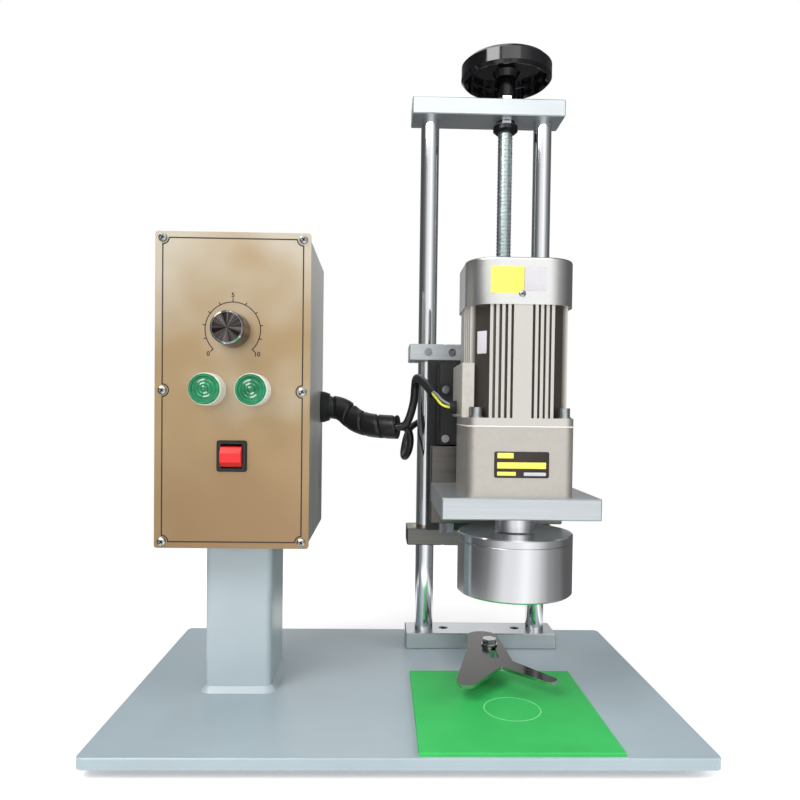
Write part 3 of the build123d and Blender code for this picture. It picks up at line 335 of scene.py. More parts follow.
def buildLamp(spec):
    data = bpy.data.lights.new(spec["name"], "AREA")
    data.shape = "RECTANGLE"
    data.size, data.size_y = spec["size"]
    data.energy = spec["power"]
    item = linkedItem(spec["name"], data)
    item.location = spec["place"]
    aim = Vector(spec["aim"]) - Vector(spec["place"])
    item.rotation_euler = aim.to_track_quat("-Z", "Y").to_euler()
    item.visible_glossy = spec["mirrored"]


bpy.context.scene.view_settings.view_transform = "Standard"
buildWorld(studio)
buildFloor(studio)
for lamp in lamps:
    buildLamp(lamp)
print("studio lit")


# Finishes: each is one surface of this machine
def startMaterial(name, colour, roughness, metallic=0.0, specular=0.5):
    material = bpy.data.materials.new(name)
    material.use_nodes = True
    tree = material.node_tree
    surface = tree.nodes["Principled BSDF"]
    surface.inputs["Base Color"].default_value = colour
    surface.inputs["Roughness"].default_value = roughness
    surface.inputs["Metallic"].default_value = metallic
    surface.inputs["Specular IOR Level"].default_value = specular
    return material, tree, surface


def objectCoords(tree, scale=(1, 1, 1), turn=(0, 0, 0), centre=(0, 0, 0)):
    coords = tree.nodes.new("ShaderNodeTexCoord")
    mapping = tree.nodes.new("ShaderNodeMapping")
    mapping.inputs["Location"].default_value = centre
    mapping.inputs["Rotation"].default_value = turn
    mapping.inputs["Scale"].default_value = scale
    tree.links.new(coords.outputs["Object"], mapping.inputs["Vector"])
    return mapping.outputs["Vector"]


def addNoise(tree, vector, scale, detail, roughness=0.6):
    noise = tree.nodes.new("ShaderNodeTexNoise")
    noise.inputs["Scale"].default_value = scale
    noise.inputs["Detail"].default_value = detail
    noise.inputs["Roughness"].default_value = roughness
    tree.links.new(vector, noise.inputs["Vector"])
    return noise.outputs["Fac"]


def addTintRange(tree, surface, source, dark, light, fromLow=0.3, fromHigh=0.7):
    ramp = tree.nodes.new("ShaderNodeValToRGB")
    ramp.color_ramp.elements[0].position = fromLow
    ramp.color_ramp.elements[0].color = dark
    ramp.color_ramp.elements[1].position = fromHigh
    ramp.color_ramp.elements[1].color = light
    tree.links.new(source, ramp.inputs["Fac"])
    tree.links.new(ramp.outputs["Color"], surface.inputs["Base Color"])
    return ramp.color_ramp


def varyRoughness(tree, surface, source, low, high, fromLow=0.3, fromHigh=0.7):
    tree.links.new(addRange(tree, source, low, high, fromLow, fromHigh), surface.inputs["Roughness"])


def addBump(tree, surface, source, strength, distance=0.0001):
    bump = tree.nodes.new("ShaderNodeBump")
    bump.inputs["Strength"].default_value = strength
    bump.inputs["Distance"].default_value = distance
    tree.links.new(source, bump.inputs["Height"])
    tree.links.new(bump.outputs["Normal"], surface.inputs["Normal"])


def paintedMetal(name, colour, darker, roughness):  # satin paint: soft clouds and a fine orange peel
    material, tree, surface = startMaterial(name, colour, roughness)
    vector = objectCoords(tree)
    clouds = addNoise(tree, vector, scale=9, detail=3)
    addTintRange(tree, surface, clouds, darker, colour)
    varyRoughness(tree, surface, clouds, roughness - 0.05, roughness + 0.07)
    peel = addNoise(tree, vector, scale=900, detail=2)
    addBump(tree, surface, peel, strength=0.1, distance=0.0002)
    return material


# Machining lines or a cast grain, by how the scale is stretched
def grainedMetal(name, colour, darker, roughness, scale, strength=0.05, spread=0.06, metallic=1.0):
    material, tree, surface = startMaterial(name, colour, roughness, metallic)
    grain = addNoise(tree, objectCoords(tree, scale), scale=1, detail=5)
    clouds = addNoise(tree, objectCoords(tree), scale=14, detail=2)
    addTintRange(tree, surface, grain, darker, colour)
    both = addMath(tree, "ADD", grain, clouds)
    varyRoughness(tree, surface, both, roughness - spread, roughness + spread, fromLow=0.75, fromHigh=1.25)
    addBump(tree, surface, grain, strength)
    return material


# Fine rings left by a lathe, round an upright line through the centre
def turnedMetal(name, colour, darker, roughness, centre, pitch, strength):
    material, tree, surface = startMaterial(name, colour, roughness, metallic=1.0)
    vector = objectCoords(tree, centre=[-place for place in centre])
    rings = tree.nodes.new("ShaderNodeCombineXYZ")
    reach = addVectorMath(tree, "LENGTH", addVectorMath(tree, "MULTIPLY", vector, (1, 1, 0)))
    tree.links.new(reach, rings.inputs["X"])
    tree.links.new(splitVector(tree, vector)["Z"], rings.inputs["Y"])
    lines = addNoise(tree, rings.outputs["Vector"], scale=1 / pitch, detail=3, roughness=0.7)
    addTintRange(tree, surface, lines, darker, colour)
    varyRoughness(tree, surface, lines, roughness - 0.04, roughness + 0.05)
    addBump(tree, surface, lines, strength)
    return material


# Bright and dark rays round the knob's axis: painted highlights of a spun face
def spunFace(name, colour, darker, roughness, centre):  # a face with rays round the knob's axis
    material, tree, surface = startMaterial(name, colour, roughness, metallic=1.0)
    shift = (-centre[0], centre[2], -centre[1])
    vector = objectCoords(tree, turn=(math.radians(90), 0, 0), centre=shift)
    rays = tree.nodes.new("ShaderNodeTexGradient")
    rays.gradient_type = "RADIAL"
    tree.links.new(vector, rays.inputs["Vector"])
    spread = tree.nodes.new("ShaderNodeCombineXYZ")
    tree.links.new(rays.outputs["Fac"], spread.inputs["X"])
    highlightRays = addNoise(tree, spread.outputs["Vector"], scale=11, detail=3)
    addTintRange(tree, surface, highlightRays, darker, colour, fromLow=0.42, fromHigh=0.6)
    fine = addNoise(tree, spread.outputs["Vector"], scale=300, detail=2)
    varyRoughness(tree, surface, fine, roughness - 0.05, roughness + 0.1)
    return material


# Polished plate with painted light: its cut edges painted bright as a painted highlight, its faces painted
# dark as a painted reflection
def edgeHighlitSteel(name, face, rim, roughness):  # polished plate, brighter on its cut edges than on its faces
    material, tree, surface = startMaterial(name, face, roughness, metallic=1.0)
    normal = tree.nodes.new("ShaderNodeNewGeometry").outputs["Normal"]
    level = addMath(tree, "ABSOLUTE", splitVector(tree, normal)["Z"])
    addTintRange(tree, surface, level, rim, face, fromLow=0.75, fromHigh=0.97)
    grain = addNoise(tree, objectCoords(tree, (40, 160, 40)), scale=1, detail=4)
    varyRoughness(tree, surface, grain, roughness - 0.04, roughness + 0.07)
    addBump(tree, surface, grain, strength=0.02)
    return material


# An extrusion bright on its fin tips, with painted shade: darker down between its fins and on its cut corners
def finnedSilver(name, bright, paintedGrooveShade, centre, root, tip, roughness):
    material, tree, surface = startMaterial(name, bright, roughness, metallic=0.9)
    vector = objectCoords(tree, centre=[-place for place in centre])
    size = splitVector(tree, addVectorMath(tree, "ABSOLUTE", vector))
    widest = addMath(tree, "MAXIMUM", size["X"], size["Y"])
    share = addRange(tree, widest, 0, 1, root, tip)
    addTintRange(tree, surface, share, paintedGrooveShade, bright, fromLow=0, fromHigh=1)
    lines = addNoise(tree, objectCoords(tree, (700, 700, 12)), scale=1, detail=3)
    varyRoughness(tree, surface, lines, roughness - 0.05, roughness + 0.06)
    addBump(tree, surface, lines, strength=0.02)
    return material


# A brushed sheet of brown tone with painted light and shade: lighter and greyer towards the top, darker and
# browner towards the foot, with soft clouds
def clearedSteel(name, low, high, tones, roughness):  # a brushed sheet: browner below, greyer above
    material, tree, surface = startMaterial(name, tones[1], roughness, metallic=0.72)
    rise = addRange(tree, splitVector(tree, objectCoords(tree))["Z"], 0, 1, low, high)
    leaning = objectCoords(tree, turn=(0, math.radians(35), 0))
    clouds = addRange(tree, addNoise(tree, leaning, scale=11, detail=2, roughness=0.5), -0.34, 0.34)
    tone = addMath(tree, "ADD", rise, clouds)
    ramp = addTintRange(tree, surface, tone, tones[0], tones[2], fromLow=0, fromHigh=1)
    ramp.elements.new(0.5).color = tones[1]
    brush = addNoise(tree, objectCoords(tree, (900, 60, 14)), scale=1, detail=4)
    varyRoughness(tree, surface, brush, roughness - 0.015, roughness + 0.02)
    addBump(tree, surface, brush, strength=0.008)
    return material


def mouldedPlastic(name, colour, roughness, specular=0.5, grain=700, strength=0.06):
    material, tree, surface = startMaterial(name, colour, roughness, specular=specular)
    vector = objectCoords(tree)
    fine = addNoise(tree, vector, scale=grain, detail=2)
    clouds = addNoise(tree, vector, scale=25, detail=2)
    darker = [part * 0.86 for part in colour[:3]] + [1]
    addTintRange(tree, surface, clouds, darker, colour)
    varyRoughness(tree, surface, fine, roughness - 0.04, roughness + 0.06)
    addBump(tree, surface, fine, strength, distance=0.0002)
    return material


def clearLens(name, colour, deep, roughness):  # a tinted lens cap, lit a little from inside
    material, tree, surface = startMaterial(name, colour, roughness, specular=0.6)
    clouds = addNoise(tree, objectCoords(tree), scale=120, detail=2)
    addTintRange(tree, surface, clouds, deep, colour)
    varyRoughness(tree, surface, clouds, roughness - 0.02, roughness + 0.05)
    surface.inputs["Coat Weight"].default_value = 0.3
    surface.inputs["Coat Roughness"].default_value = 0.06
    surface.inputs["Subsurface Weight"].default_value = 0.25
    surface.inputs["Subsurface Radius"].default_value = (0.001, 0.003, 0.002)
    return material


# How finely each kind of grain is drawn: a low number runs long that way
evenGrain = (300, 300, 300)
castGrain = (260, 260, 260)
milledGrain = (8, 300, 420)
motorMiddle = middleOf("motor_body")
# The motor's painted shade runs from darkest at the fins' roots to brightest at their tips
motorFins = (0.0383, 0.0415)  # from the motor's middle out to the roots and the tips
# The panel's painted shade is darkest and brownest at its foot, its painted light greyest at its top
panelRise = (0.155, 0.427)  # the panel's foot, where it is brownest, and its top
panelShadeToLight = (shade(160, 132, 98), shade(170, 146, 110), shade(194, 184, 166))
# Each entry: the kind of surface, then what that kind asks for in its order, mostly a colour, a darker
# colour and a roughness, and for a grained metal also its grain, strength, spread and metallic
finishSpecs = {
    "basePaint": (paintedMetal, shade(157, 172, 179), shade(149, 163, 170), 0.34),
    # the post has the base's paint made lighter: painted light on the post's front
    "postPaint": (paintedMetal, shade(168, 180, 185), shade(160, 172, 177), 0.34),
    "boxPaint": (paintedMetal, shade(148, 148, 144), shade(140, 140, 136), 0.38),
    "panelSteel": (clearedSteel, *panelRise, panelShadeToLight, 0.3),
    # the fork's dark face colour is a painted reflection, its bright edge colour a painted highlight
    "forkSteel": (edgeHighlitSteel, shade(58, 56, 54), shade(200, 196, 190), 0.13),
    "hardChrome": (grainedMetal, shade(240, 242, 246), shade(230, 232, 236), 0.07, (90, 90, 3), 0.01, 0.02),
    "zincSteel": (grainedMetal, shade(200, 204, 205), shade(176, 180, 181), 0.24, evenGrain),
    "screwZinc": (grainedMetal, shade(196, 208, 208), shade(160, 172, 172), 0.3, (200, 200, 500)),
    "darkSteel": (grainedMetal, shade(66, 66, 68), shade(44, 44, 46), 0.34, evenGrain),
    # the lower block is the same milled aluminium as the upper block, painted darker: painted shade
    "shadeBlock": (grainedMetal, shade(126, 125, 121), shade(112, 111, 107), 0.38, milledGrain, 0.03),
    "footSteel": (grainedMetal, shade(216, 221, 223), shade(202, 207, 210), 0.34, milledGrain, 0.03),
    "milledBlock": (
        grainedMetal, shade(198, 204, 207), shade(186, 192, 195), 0.34, milledGrain, 0.03, 0.06, 0.82,
    ),
    "slideGrey": (grainedMetal, shade(124, 120, 116), shade(110, 107, 103), 0.4, milledGrain, 0.03),
    "darkPlate": (grainedMetal, shade(50, 50, 52), shade(42, 42, 44), 0.46, evenGrain, 0.04, 0.06, 0.5),
    "turnedHead": (
        turnedMetal, shade(232, 233, 236), shade(222, 223, 226), 0.17, middleOf("chuck_body"), 0.0005, 0.02,
    ),
    "castCase": (grainedMetal, shade(193, 188, 181), shade(186, 181, 174), 0.4, castGrain, 0.03, 0.04, 0.85),
    # the motor's darker colour is painted shade between the fins and on its cut corners
    "motorSilver": (
        finnedSilver, shade(206, 203, 197), shade(112, 107, 101), motorMiddle, *motorFins, 0.34,
    ),
    "boxSilver": (
        grainedMetal, shade(204, 200, 193), shade(194, 190, 183), 0.38, castGrain, 0.02, 0.04, 0.85,
    ),
    "coverSilver": (
        grainedMetal, shade(232, 233, 231), shade(224, 225, 223), 0.3, (500, 500, 500), 0.01, 0.03,
    ),
    "bronze": (grainedMetal, shade(196, 158, 96), shade(150, 118, 66), 0.3, evenGrain),
    "screwGrey": (grainedMetal, shade(176, 178, 179), shade(146, 148, 149), 0.26, evenGrain),
    # the knob face's bright and dark colours are painted highlight rays
    "knobFace": (spunFace, shade(118, 112, 108), shade(34, 31, 30), 0.24, middleOf("speed_knob")),
    "greenLens": (clearLens, shade(8, 128, 80), shade(4, 96, 58), 0.14),
    # Mouldings: colour and roughness, then specular, grain and its strength
    "blackPlastic": (mouldedPlastic, shade(36, 35, 36), 0.4),
    "glossBlack": (mouldedPlastic, shade(12, 11, 15), 0.1, 0.6, 200, 0.01),
    "whitePlastic": (mouldedPlastic, shade(232, 235, 226), 0.28),
    "redKey": (mouldedPlastic, shade(212, 30, 28), 0.18, 0.6, 300, 0.02),
    "greenMat": (mouldedPlastic, shade(58, 182, 92), 0.5, 0.2, 500),
    # the mat ring's lighter green is a painted highlight
    "matGroove": (mouldedPlastic, shade(120, 214, 146), 0.4, 0.3, 500),
    "blackRubber": (mouldedPlastic, shade(26, 26, 27), 0.6, 0.3),
    "cableSheath": (mouldedPlastic, shade(22, 22, 24), 0.34, 0.5, 400, 0.05),
    "greyWire": (mouldedPlastic, shade(120, 124, 128), 0.4),
    "earthWire": (mouldedPlastic, shade(206, 208, 64), 0.4),
    "etchInk": (mouldedPlastic, shade(38, 30, 24), 0.5),
    "plateBlack": (mouldedPlastic, shade(40, 30, 28), 0.3, 0.5, 300, 0.02),
    "plateYellow": (mouldedPlastic, shade(236, 226, 96), 0.35, 0.5, 300, 0.02),
    "plateGrey": (mouldedPlastic, shade(196, 193, 198), 0.3, 0.5, 300, 0.02),
    "sealant": (mouldedPlastic, shade(222, 218, 210), 0.5, 0.5, 300, 0.1),
}
finishes = {name: kind(name, *settings) for name, (kind, *settings) in finishSpecs.items()}
print("finishes mixed:", len(finishes))

dressed = {
    "basePaint": ["base_plate"],
    "postPaint": ["control_post"],
    "boxPaint": ["box_housing"],
    "panelSteel": ["front_panel"],
    "forkSteel": ["bottle_fork"],
    "hardChrome": ["columns", "lock_nuts", "guide_rails"],
    "zincSteel": ["panel_screws", "potentiometer", "potentiometer_shaft", "fork_fasteners", "stroke_screw",
                  "gearbox_bolts", "output_shaft"],
    "screwZinc": ["lead_screw"],
    "darkSteel": ["stand_screws", "screw_bearing", "screw_collar", "runner_blocks", "plate_screws",
                  "output_gear", "lay_gears", "motor_rotor"],
    "shadeBlock": ["lower_block"],
    "footSteel": ["foot_block"],
    "milledBlock": ["top_plate", "upper_block", "motor_plate"],
    "slideGrey": ["slide_plate"],
    "darkPlate": ["carriage_plate", "stroke_gear_case"],
    "turnedHead": ["chuck_lid", "chuck_body"],
    "castCase": ["gearbox"],
    "motorSilver": ["motor_body"],
    "boxSilver": ["lead_box"],
    "coverSilver": ["fan_cover"],
    "bronze": ["lead_nut", "column_bushes"],
    "screwGrey": ["carriage_screws"],
    "knobFace": ["speed_knob"],
    "greenLens": ["button_cap_left", "button_cap_right"],
    "blackPlastic": ["speed_controller", "mains_inlet", "stroke_motor", "cooling_fan"],
    "glossBlack": ["rocker_housing", "handwheel"],
    "whitePlastic": ["button_bodies"],
    "redKey": ["rocker_key"],
    "greenMat": ["bottle_mat"],
    "blackRubber": ["rubber_feet", "cable_gland", "wire_grommet", "chuck_pad"],
    "cableSheath": ["cable_trunk", "stroke_lead", "motor_lead"],
}
for finish, nodes in dressed.items():
    for node in nodes:
        cadNodes[node].data.materials.clear()
        cadNodes[node].data.materials.append(finishes[finish])
print("nodes dressed:", sum(len(nodes) for nodes in dressed.values()))


# Leads: the same route points as the construction file
leadSmooth = 50


def leadLine(name, route, smoothness):  # the smooth line that a lead lies along
    curve = bpy.data.curves.new(name, "CURVE")
    curve.dimensions = "3D"
    curve.resolution_u = smoothness
    spline = curve.splines.new("NURBS")
    spline.points.add(len(route) - 1)
    for point, place in zip(spline.points, route):
        point.co = (*place, 1)
    spline.order_u = 3
    spline.use_endpoint_u = True
    return linkedItem(name, curve)


def linePoints(name, route, smoothness):  # read back from the smooth line
    item = leadLine(name, route, smoothness)
    bpy.context.view_layer.update()
    mesh = bpy.data.meshes.new_from_object(item)
    points = [vertex.co.copy() for vertex in mesh.vertices]
    bpy.data.meshes.remove(mesh)
    bpy.data.objects.remove(item)
    return points


def roundLead(name, route, radius, smoothness=16):  # a round wire, closed at both ends
    item = leadLine(name, route, smoothness)
    item.data.bevel_depth = radius
    item.data.bevel_resolution = 6
    item.data.use_fill_caps = True
    pick(item)
    bpy.ops.object.convert(target="MESH")
    item = bpy.context.object
    weldItem(item, 0.000001)
    smoothItem(item, leadSmooth)
    return item


def skinRows(builder, rows, closed=False):  # faces from each ring of points to the next, and over open ends
    pairs = list(zip(rows, rows[1:])) + ([(rows[-1], rows[0])] if closed else [])
    for first, second in pairs:
        for step in range(len(first)):
            after = (step + 1) % len(first)
            builder.faces.new((first[step], first[after], second[after], second[step]))
    ends = [] if closed else [builder.faces.new(rows[0]), builder.faces.new(rows[-1])]
    bmesh.ops.recalc_face_normals(builder, faces=builder.faces)
    return ends


# A tube along a line: reachAt gives its reach by the length so far and the share of a turn
def tubeRound(builder, line, sides, reachAt):
    along = 0.0
    side = None
    rows = []
    for index, place in enumerate(line):
        ahead = (line[min(index + 1, len(line) - 1)] - line[max(index - 1, 0)]).normalized()
        if side is None:
            side = ahead.orthogonal().normalized()
        else:
            along += (place - line[index - 1]).length
            side = (side - side.dot(ahead) * ahead).normalized()
        up = ahead.cross(side)
        row = []
        for step in range(sides):
            angle = 2 * math.pi * step / sides
            reach = reachAt(along, step / sides)
            row.append(builder.verts.new(place + reach * (math.cos(angle) * side + math.sin(angle) * up)))
        rows.append(row)
    return skinRows(builder, rows)


trunk = {
    "route": [(-0.0725, 0.063, 0.279), (-0.06, 0.063, 0.279), (-0.046, 0.054, 0.265), (-0.025, 0.043, 0.2595),
              (-0.002, 0.036, 0.2595)],
    "radius": 0.012, "wrapPitch": 0.0185, "slit": 0.0014, "slitWidth": 0.0011, "sides": 72, "steps": 40,
}


def buildTrunk(spec):  # a spiral wrap: its slit runs round the bundle
    def reachAt(along, share):
        phase = (along / spec["wrapPitch"] - share) % 1
        gap = min(phase, 1 - phase) * spec["wrapPitch"]
        return spec["radius"] - spec["slit"] * math.exp(-((gap / spec["slitWidth"]) ** 2))

    builder = bmesh.new()
    tubeRound(builder, linePoints("trunkLine", spec["route"], spec["steps"]), spec["sides"], reachAt)
    sleeve = meshItem("trunkSleeve", builder)
    smoothItem(sleeve, leadSmooth)
    sleeve.data.materials.append(finishes["cableSheath"])
    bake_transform(sleeve)
    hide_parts("cable_trunk")


buildTrunk(trunk)

strokeLead = {
    "route": [(-0.0001, 0.0422, 0.2595), (0.0075, 0.0399, 0.2595), (0.012, 0.044, 0.25), (0.011, 0.05, 0.236),
              (0.007, 0.06, 0.227), (0.005, 0.074, 0.229), (0.007, 0.09, 0.24), (0.01, 0.107, 0.25),
              (0.015, 0.122, 0.258), (0.028, 0.131, 0.266), (0.045, 0.129, 0.271), (0.058, 0.117, 0.272),
              (0.061, 0.106, 0.272), (0.061, 0.0965, 0.272)],
    "radius": 0.0035,
}


def buildStrokeLead(spec):  # round the back to the stroke drive
    wire = roundLead("strokeWire", spec["route"], spec["radius"])
    wire.data.materials.append(finishes["cableSheath"])
    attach(wire, "carriage")
    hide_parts("stroke_lead")


buildStrokeLead(strokeLead)

motorLead = {
    "route": [(-0.0035, 0.0302, 0.2595), (0.0049, 0.0276, 0.2595), (0.01, 0.027, 0.27), (0.014, 0.029, 0.286),
              (0.0145, 0.026, 0.301), (0.015, 0.014, 0.309), (0.019, -0.002, 0.306), (0.024, -0.017, 0.299),
              (0.029, -0.029, 0.291), (0.033, -0.04, 0.2855), (0.0375, -0.0462, 0.2805),
              (0.0422, -0.0462, 0.2795)],
    "radius": 0.004, "sides": 28, "steps": 24, "rim": 0.25, "dish": 0.0015,
    "bare": 0.027, "wireRadius": 0.00115,
    "wires": [("greyWire", (0.0, -0.0008, 0.0034)), ("earthWire", (0.0, -0.0026, -0.0004)),
              ("blackRubber", (0.0, 0.0022, -0.0016))],
    "spread": (0.45, 1.3, 1.2, 0.5),  # how far apart the wires are at their four points
    "back": 0.003, "ahead": 0.009,  # the first two, from the sleeve's mouth
    "before": (-0.006, 0.001, 0.001), "within": (0.002, 0, 0),  # the last two, from the lead's end
}


def buildMotorLead(spec):  # a black sleeve, and three thin wires out of its end into the grommet
    line = linePoints("motorLine", spec["route"], spec["steps"])
    bare = 0.0
    cut = len(line) - 1
    while bare < spec["bare"]:
        bare += (line[cut] - line[cut - 1]).length
        cut -= 1
    mouth = line[cut]
    builder = bmesh.new()
    end = tubeRound(builder, line[: cut + 1], spec["sides"], lambda along, share: spec["radius"])[1]
    bmesh.ops.inset_region(builder, faces=[end], thickness=spec["radius"] * spec["rim"], depth=0)
    for vertex in end.verts:
        vertex.co -= (mouth - line[cut - 1]).normalized() * spec["dish"]
    sleeve = meshItem("motorSleeve", builder)
    smoothItem(sleeve, leadSmooth)
    sleeve.data.materials.append(finishes["cableSheath"])
    parts = [sleeve]
    ahead = (line[cut + 1] - mouth).normalized()
    last = Vector(spec["route"][-1])
    places = [mouth - ahead * spec["back"], mouth + ahead * spec["ahead"],
              last + Vector(spec["before"]), last + Vector(spec["within"])]
    for finish, offset in spec["wires"]:
        route = [tuple(place + Vector(offset) * share) for place, share in zip(places, spec["spread"])]
        wire = roundLead(finish + "Wire", route, spec["wireRadius"])
        wire.data.materials.append(finishes[finish])
        parts.append(wire)
    lead = joinPieces(parts, "motorLead")
    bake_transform(lead)
    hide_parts("motor_lead")


buildMotorLead(motorLead)
print("leads laid")


# Turned and drawn shapes
def profileItem(name, profile, edges):  # a profile of (reach, height) on the side of the upright
    mesh = bpy.data.meshes.new(name)
    mesh.from_pydata([(reach, 0, height) for reach, height in profile], edges, [])
    return linkedItem(name, mesh)


turnedWeld = 0.000002
turnedSmooth = 32


def windProfile(item, steps, pitch=0, turns=1):  # round the upright, and up it if there is a pitch
    pick(item)
    wind = item.modifiers.new("wound", "SCREW")
    wind.angle = 2 * math.pi
    wind.steps = steps
    wind.render_steps = steps
    wind.screw_offset = pitch
    wind.iterations = turns
    wind.use_merge_vertices = not pitch
    wind.merge_threshold = turnedWeld
    bpy.ops.object.modifier_apply(modifier=wind.name)


def spunProfile(name, profile, steps=64, facesFront=False):  # turned round the upright, or laid to the front
    edges = [(index, index + 1) for index in range(len(profile) - 1)]
    if profile[0][0] > 0 and profile[-1][0] > 0:
        edges.append((len(profile) - 1, 0))
    item = profileItem(name, profile, edges)
    windProfile(item, steps)
    weldItem(item, turnedWeld)
    if facesFront:
        item.rotation_euler = (math.radians(90), 0, 0)
        applyPlace(item)
    smoothItem(item, turnedSmooth)
    return item


handScrew = {
    "core": 0.00755, "crest": 0.008, "journal": 0.006, "pitch": 0.004, "turnSteps": 30,
    "landing": 0.0014, "flank": 0.0006, "sunk": 0.0003, "tipBevel": 0.001, "topBevel": 0.0012,
    "plainEnd": 0.003,
}


def buildHandScrew(spec):  # a plain core, a ridge wound round it and a journal on top
    low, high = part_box("lead_screw")
    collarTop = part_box("screw_collar")[1][2]
    core = spunProfile("screwCore", [
        (0, low[2]), (spec["core"] - spec["tipBevel"], low[2]), (spec["core"], low[2] + spec["tipBevel"]),
        (spec["core"], collarTop), (spec["journal"], collarTop),
        (spec["journal"], high[2] - spec["topBevel"]), (spec["journal"] - spec["topBevel"], high[2]),
        (0, high[2]),
    ])
    half = spec["landing"] / 2
    inner = spec["core"] - spec["sunk"]
    foot = half + spec["flank"]
    ridge = profileItem(
        "screwRidge", [(inner, foot), (spec["crest"], half), (spec["crest"], -half), (inner, -foot)],
        [(0, 1), (1, 2), (2, 3), (3, 0)],
    )
    turns = int((collarTop - low[2] - 2 * spec["plainEnd"]) / spec["pitch"])
    windProfile(ridge, spec["turnSteps"], spec["pitch"], turns)
    bpy.ops.object.mode_set(mode="EDIT")
    bpy.ops.mesh.select_all(action="DESELECT")
    bpy.ops.mesh.select_mode(type="VERT")
    bpy.ops.mesh.select_non_manifold()
    bpy.ops.mesh.edge_face_add()
    bpy.ops.mesh.select_all(action="SELECT")
    bpy.ops.mesh.normals_make_consistent(inside=False)
    bpy.ops.object.mode_set(mode="OBJECT")
    ridge.location.z = low[2] + spec["plainEnd"]
    applyPlace(ridge)
    smoothItem(ridge, turnedSmooth)
    screw = joinPieces([core, ridge], "handScrew")
    screw.location = ((low[0] + high[0]) / 2, (low[1] + high[1]) / 2, 0)
    finishPiece(screw, "handScrew", "handwheel", "screwZinc")
    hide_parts("lead_screw")


buildHandScrew(handScrew)
print("hand screw wound")


# A thin band along points in a plane: low to high along its normal, inner to outer beside the line
def drawnBand(name, points, normal, low, high, inner, outer, closed=True):
    normal = Vector(normal)
    corners = [(inner, low), (outer, low), (outer, high), (inner, high)]
    count = len(points)
    builder = bmesh.new()
    rows = []
    for index in range(count):
        place = Vector(points[index])
        before = Vector(points[index - 1]) if closed or index else place
        after = Vector(points[(index + 1) % count]) if closed or index < count - 1 else place
        first = (place - before).normalized()
        second = (after - place).normalized()
        ahead = (first + second).normalized() if first.length and second.length else first + second
        out = ahead.cross(normal).normalized()
        stretch = 1 / max(ahead.dot(second if second.length else first), 0.5)
        places = [place + out * reach * stretch + normal * height for reach, height in corners]
        rows.append([builder.verts.new(corner) for corner in places])
    skinRows(builder, rows, closed)
    return meshItem(name, builder)


def arcPairs(centre, radius, start, end, steps):  # places along an arc, its ends in degrees
    pairs = []
    for step in range(steps + 1):
        angle = math.radians(start + (end - start) * step / steps)
        pairs.append((centre[0] + radius * math.cos(angle), centre[1] + radius * math.sin(angle)))
    return pairs


marking = {"face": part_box("front_panel")[0][1], "front": (0, -1, 0), "sunk": 0.0002, "proud": 0.00012}


def markBand(name, pairs, width, closed=True):  # a line of ink on the panel
    points = [(x, marking["face"], z) for x, z in pairs]
    half = width / 2
    return drawnBand(name, points, marking["front"], -marking["sunk"], marking["proud"], -half, half, closed)


panelBorder = {"screwRadius": 0.004, "arc": 0.0054, "steps": 14, "width": 0.0011}
screwLow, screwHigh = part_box("panel_screws")
screwXs = (screwLow[0] + panelBorder["screwRadius"], screwHigh[0] - panelBorder["screwRadius"])
screwZs = (screwLow[2] + panelBorder["screwRadius"], screwHigh[2] - panelBorder["screwRadius"])
screwMiddleZ = (screwZs[0] + screwZs[1]) / 2


def buildPanelBorder(spec):  # the engraved line, which steps in round each of the six screws
    left, right = screwXs
    bottom, top = screwZs
    stops = [
        ((left, bottom), 90, 0), ((right, bottom), 180, 90), ((right, screwMiddleZ), 270, 90),
        ((right, top), 270, 180), ((left, top), 360, 270), ((left, screwMiddleZ), 90, -90),
    ]
    pairs = []
    for centre, start, end in stops:
        pairs += arcPairs(centre, spec["arc"], start, end, spec["steps"])
    finishPiece(markBand("panelBorder", pairs, spec["width"]), "panelBorder", "stand", "etchInk")


buildPanelBorder(panelBorder)

dial = {
    "centre": (-0.147, 0.3436), "arc": 0.0237, "arcSteps": 72, "lineWidth": 0.00085, "start": 225, "end": -45,
    "ticks": 11, "tick": 0.0024, "longTick": 1.3, "longEvery": 5,  # a long tick is this many times a tick
    "figures": ["0", "5", "10"], "figureReach": 0.0295, "figureSize": 0.0056, "figureDepth": 0.00015,
    "figureWeight": 0.00014, "figureSmooth": 4,
}


def buildDialMarks(spec):  # an open ring with eleven ticks and plain figures
    def dialPair(reach, step, steps):
        angle = math.radians(spec["start"] + (spec["end"] - spec["start"]) * step / steps)
        return spec["centre"][0] + reach * math.cos(angle), spec["centre"][1] + reach * math.sin(angle)

    ring = arcPairs(spec["centre"], spec["arc"], spec["start"], spec["end"], spec["arcSteps"])
    parts = [markBand("dialLine", ring, spec["lineWidth"], False)]
    for step in range(spec["ticks"]):
        length = spec["tick"] * (1 if step % spec["longEvery"] else spec["longTick"])
        reaches = (spec["arc"] - spec["lineWidth"] / 2, spec["arc"] + length)
        ends = [dialPair(reach, step, spec["ticks"] - 1) for reach in reaches]
        parts.append(markBand("dialTick", ends, spec["lineWidth"], False))
    for index, figure in enumerate(spec["figures"]):
        deselectAll()
        bpy.ops.object.text_add(location=(0, 0, 0))
        words = bpy.context.object.data
        words.body = figure
        words.align_x = "CENTER"
        words.align_y = "CENTER"
        words.size = spec["figureSize"]
        words.extrude = spec["figureDepth"]
        words.offset = spec["figureWeight"]
        words.resolution_u = spec["figureSmooth"]
        bpy.ops.object.convert(target="MESH")
        item = bpy.context.object
        x, z = dialPair(spec["figureReach"], index, len(spec["figures"]) - 1)
        item.rotation_euler = (math.radians(90), 0, 0)
        item.location = (x, marking["face"], z)
        applyPlace(item)
        parts.append(item)
    finishPiece(joinPieces(parts, "dialMarks"), "dialMarks", "stand", "etchInk")


buildDialMarks(dial)

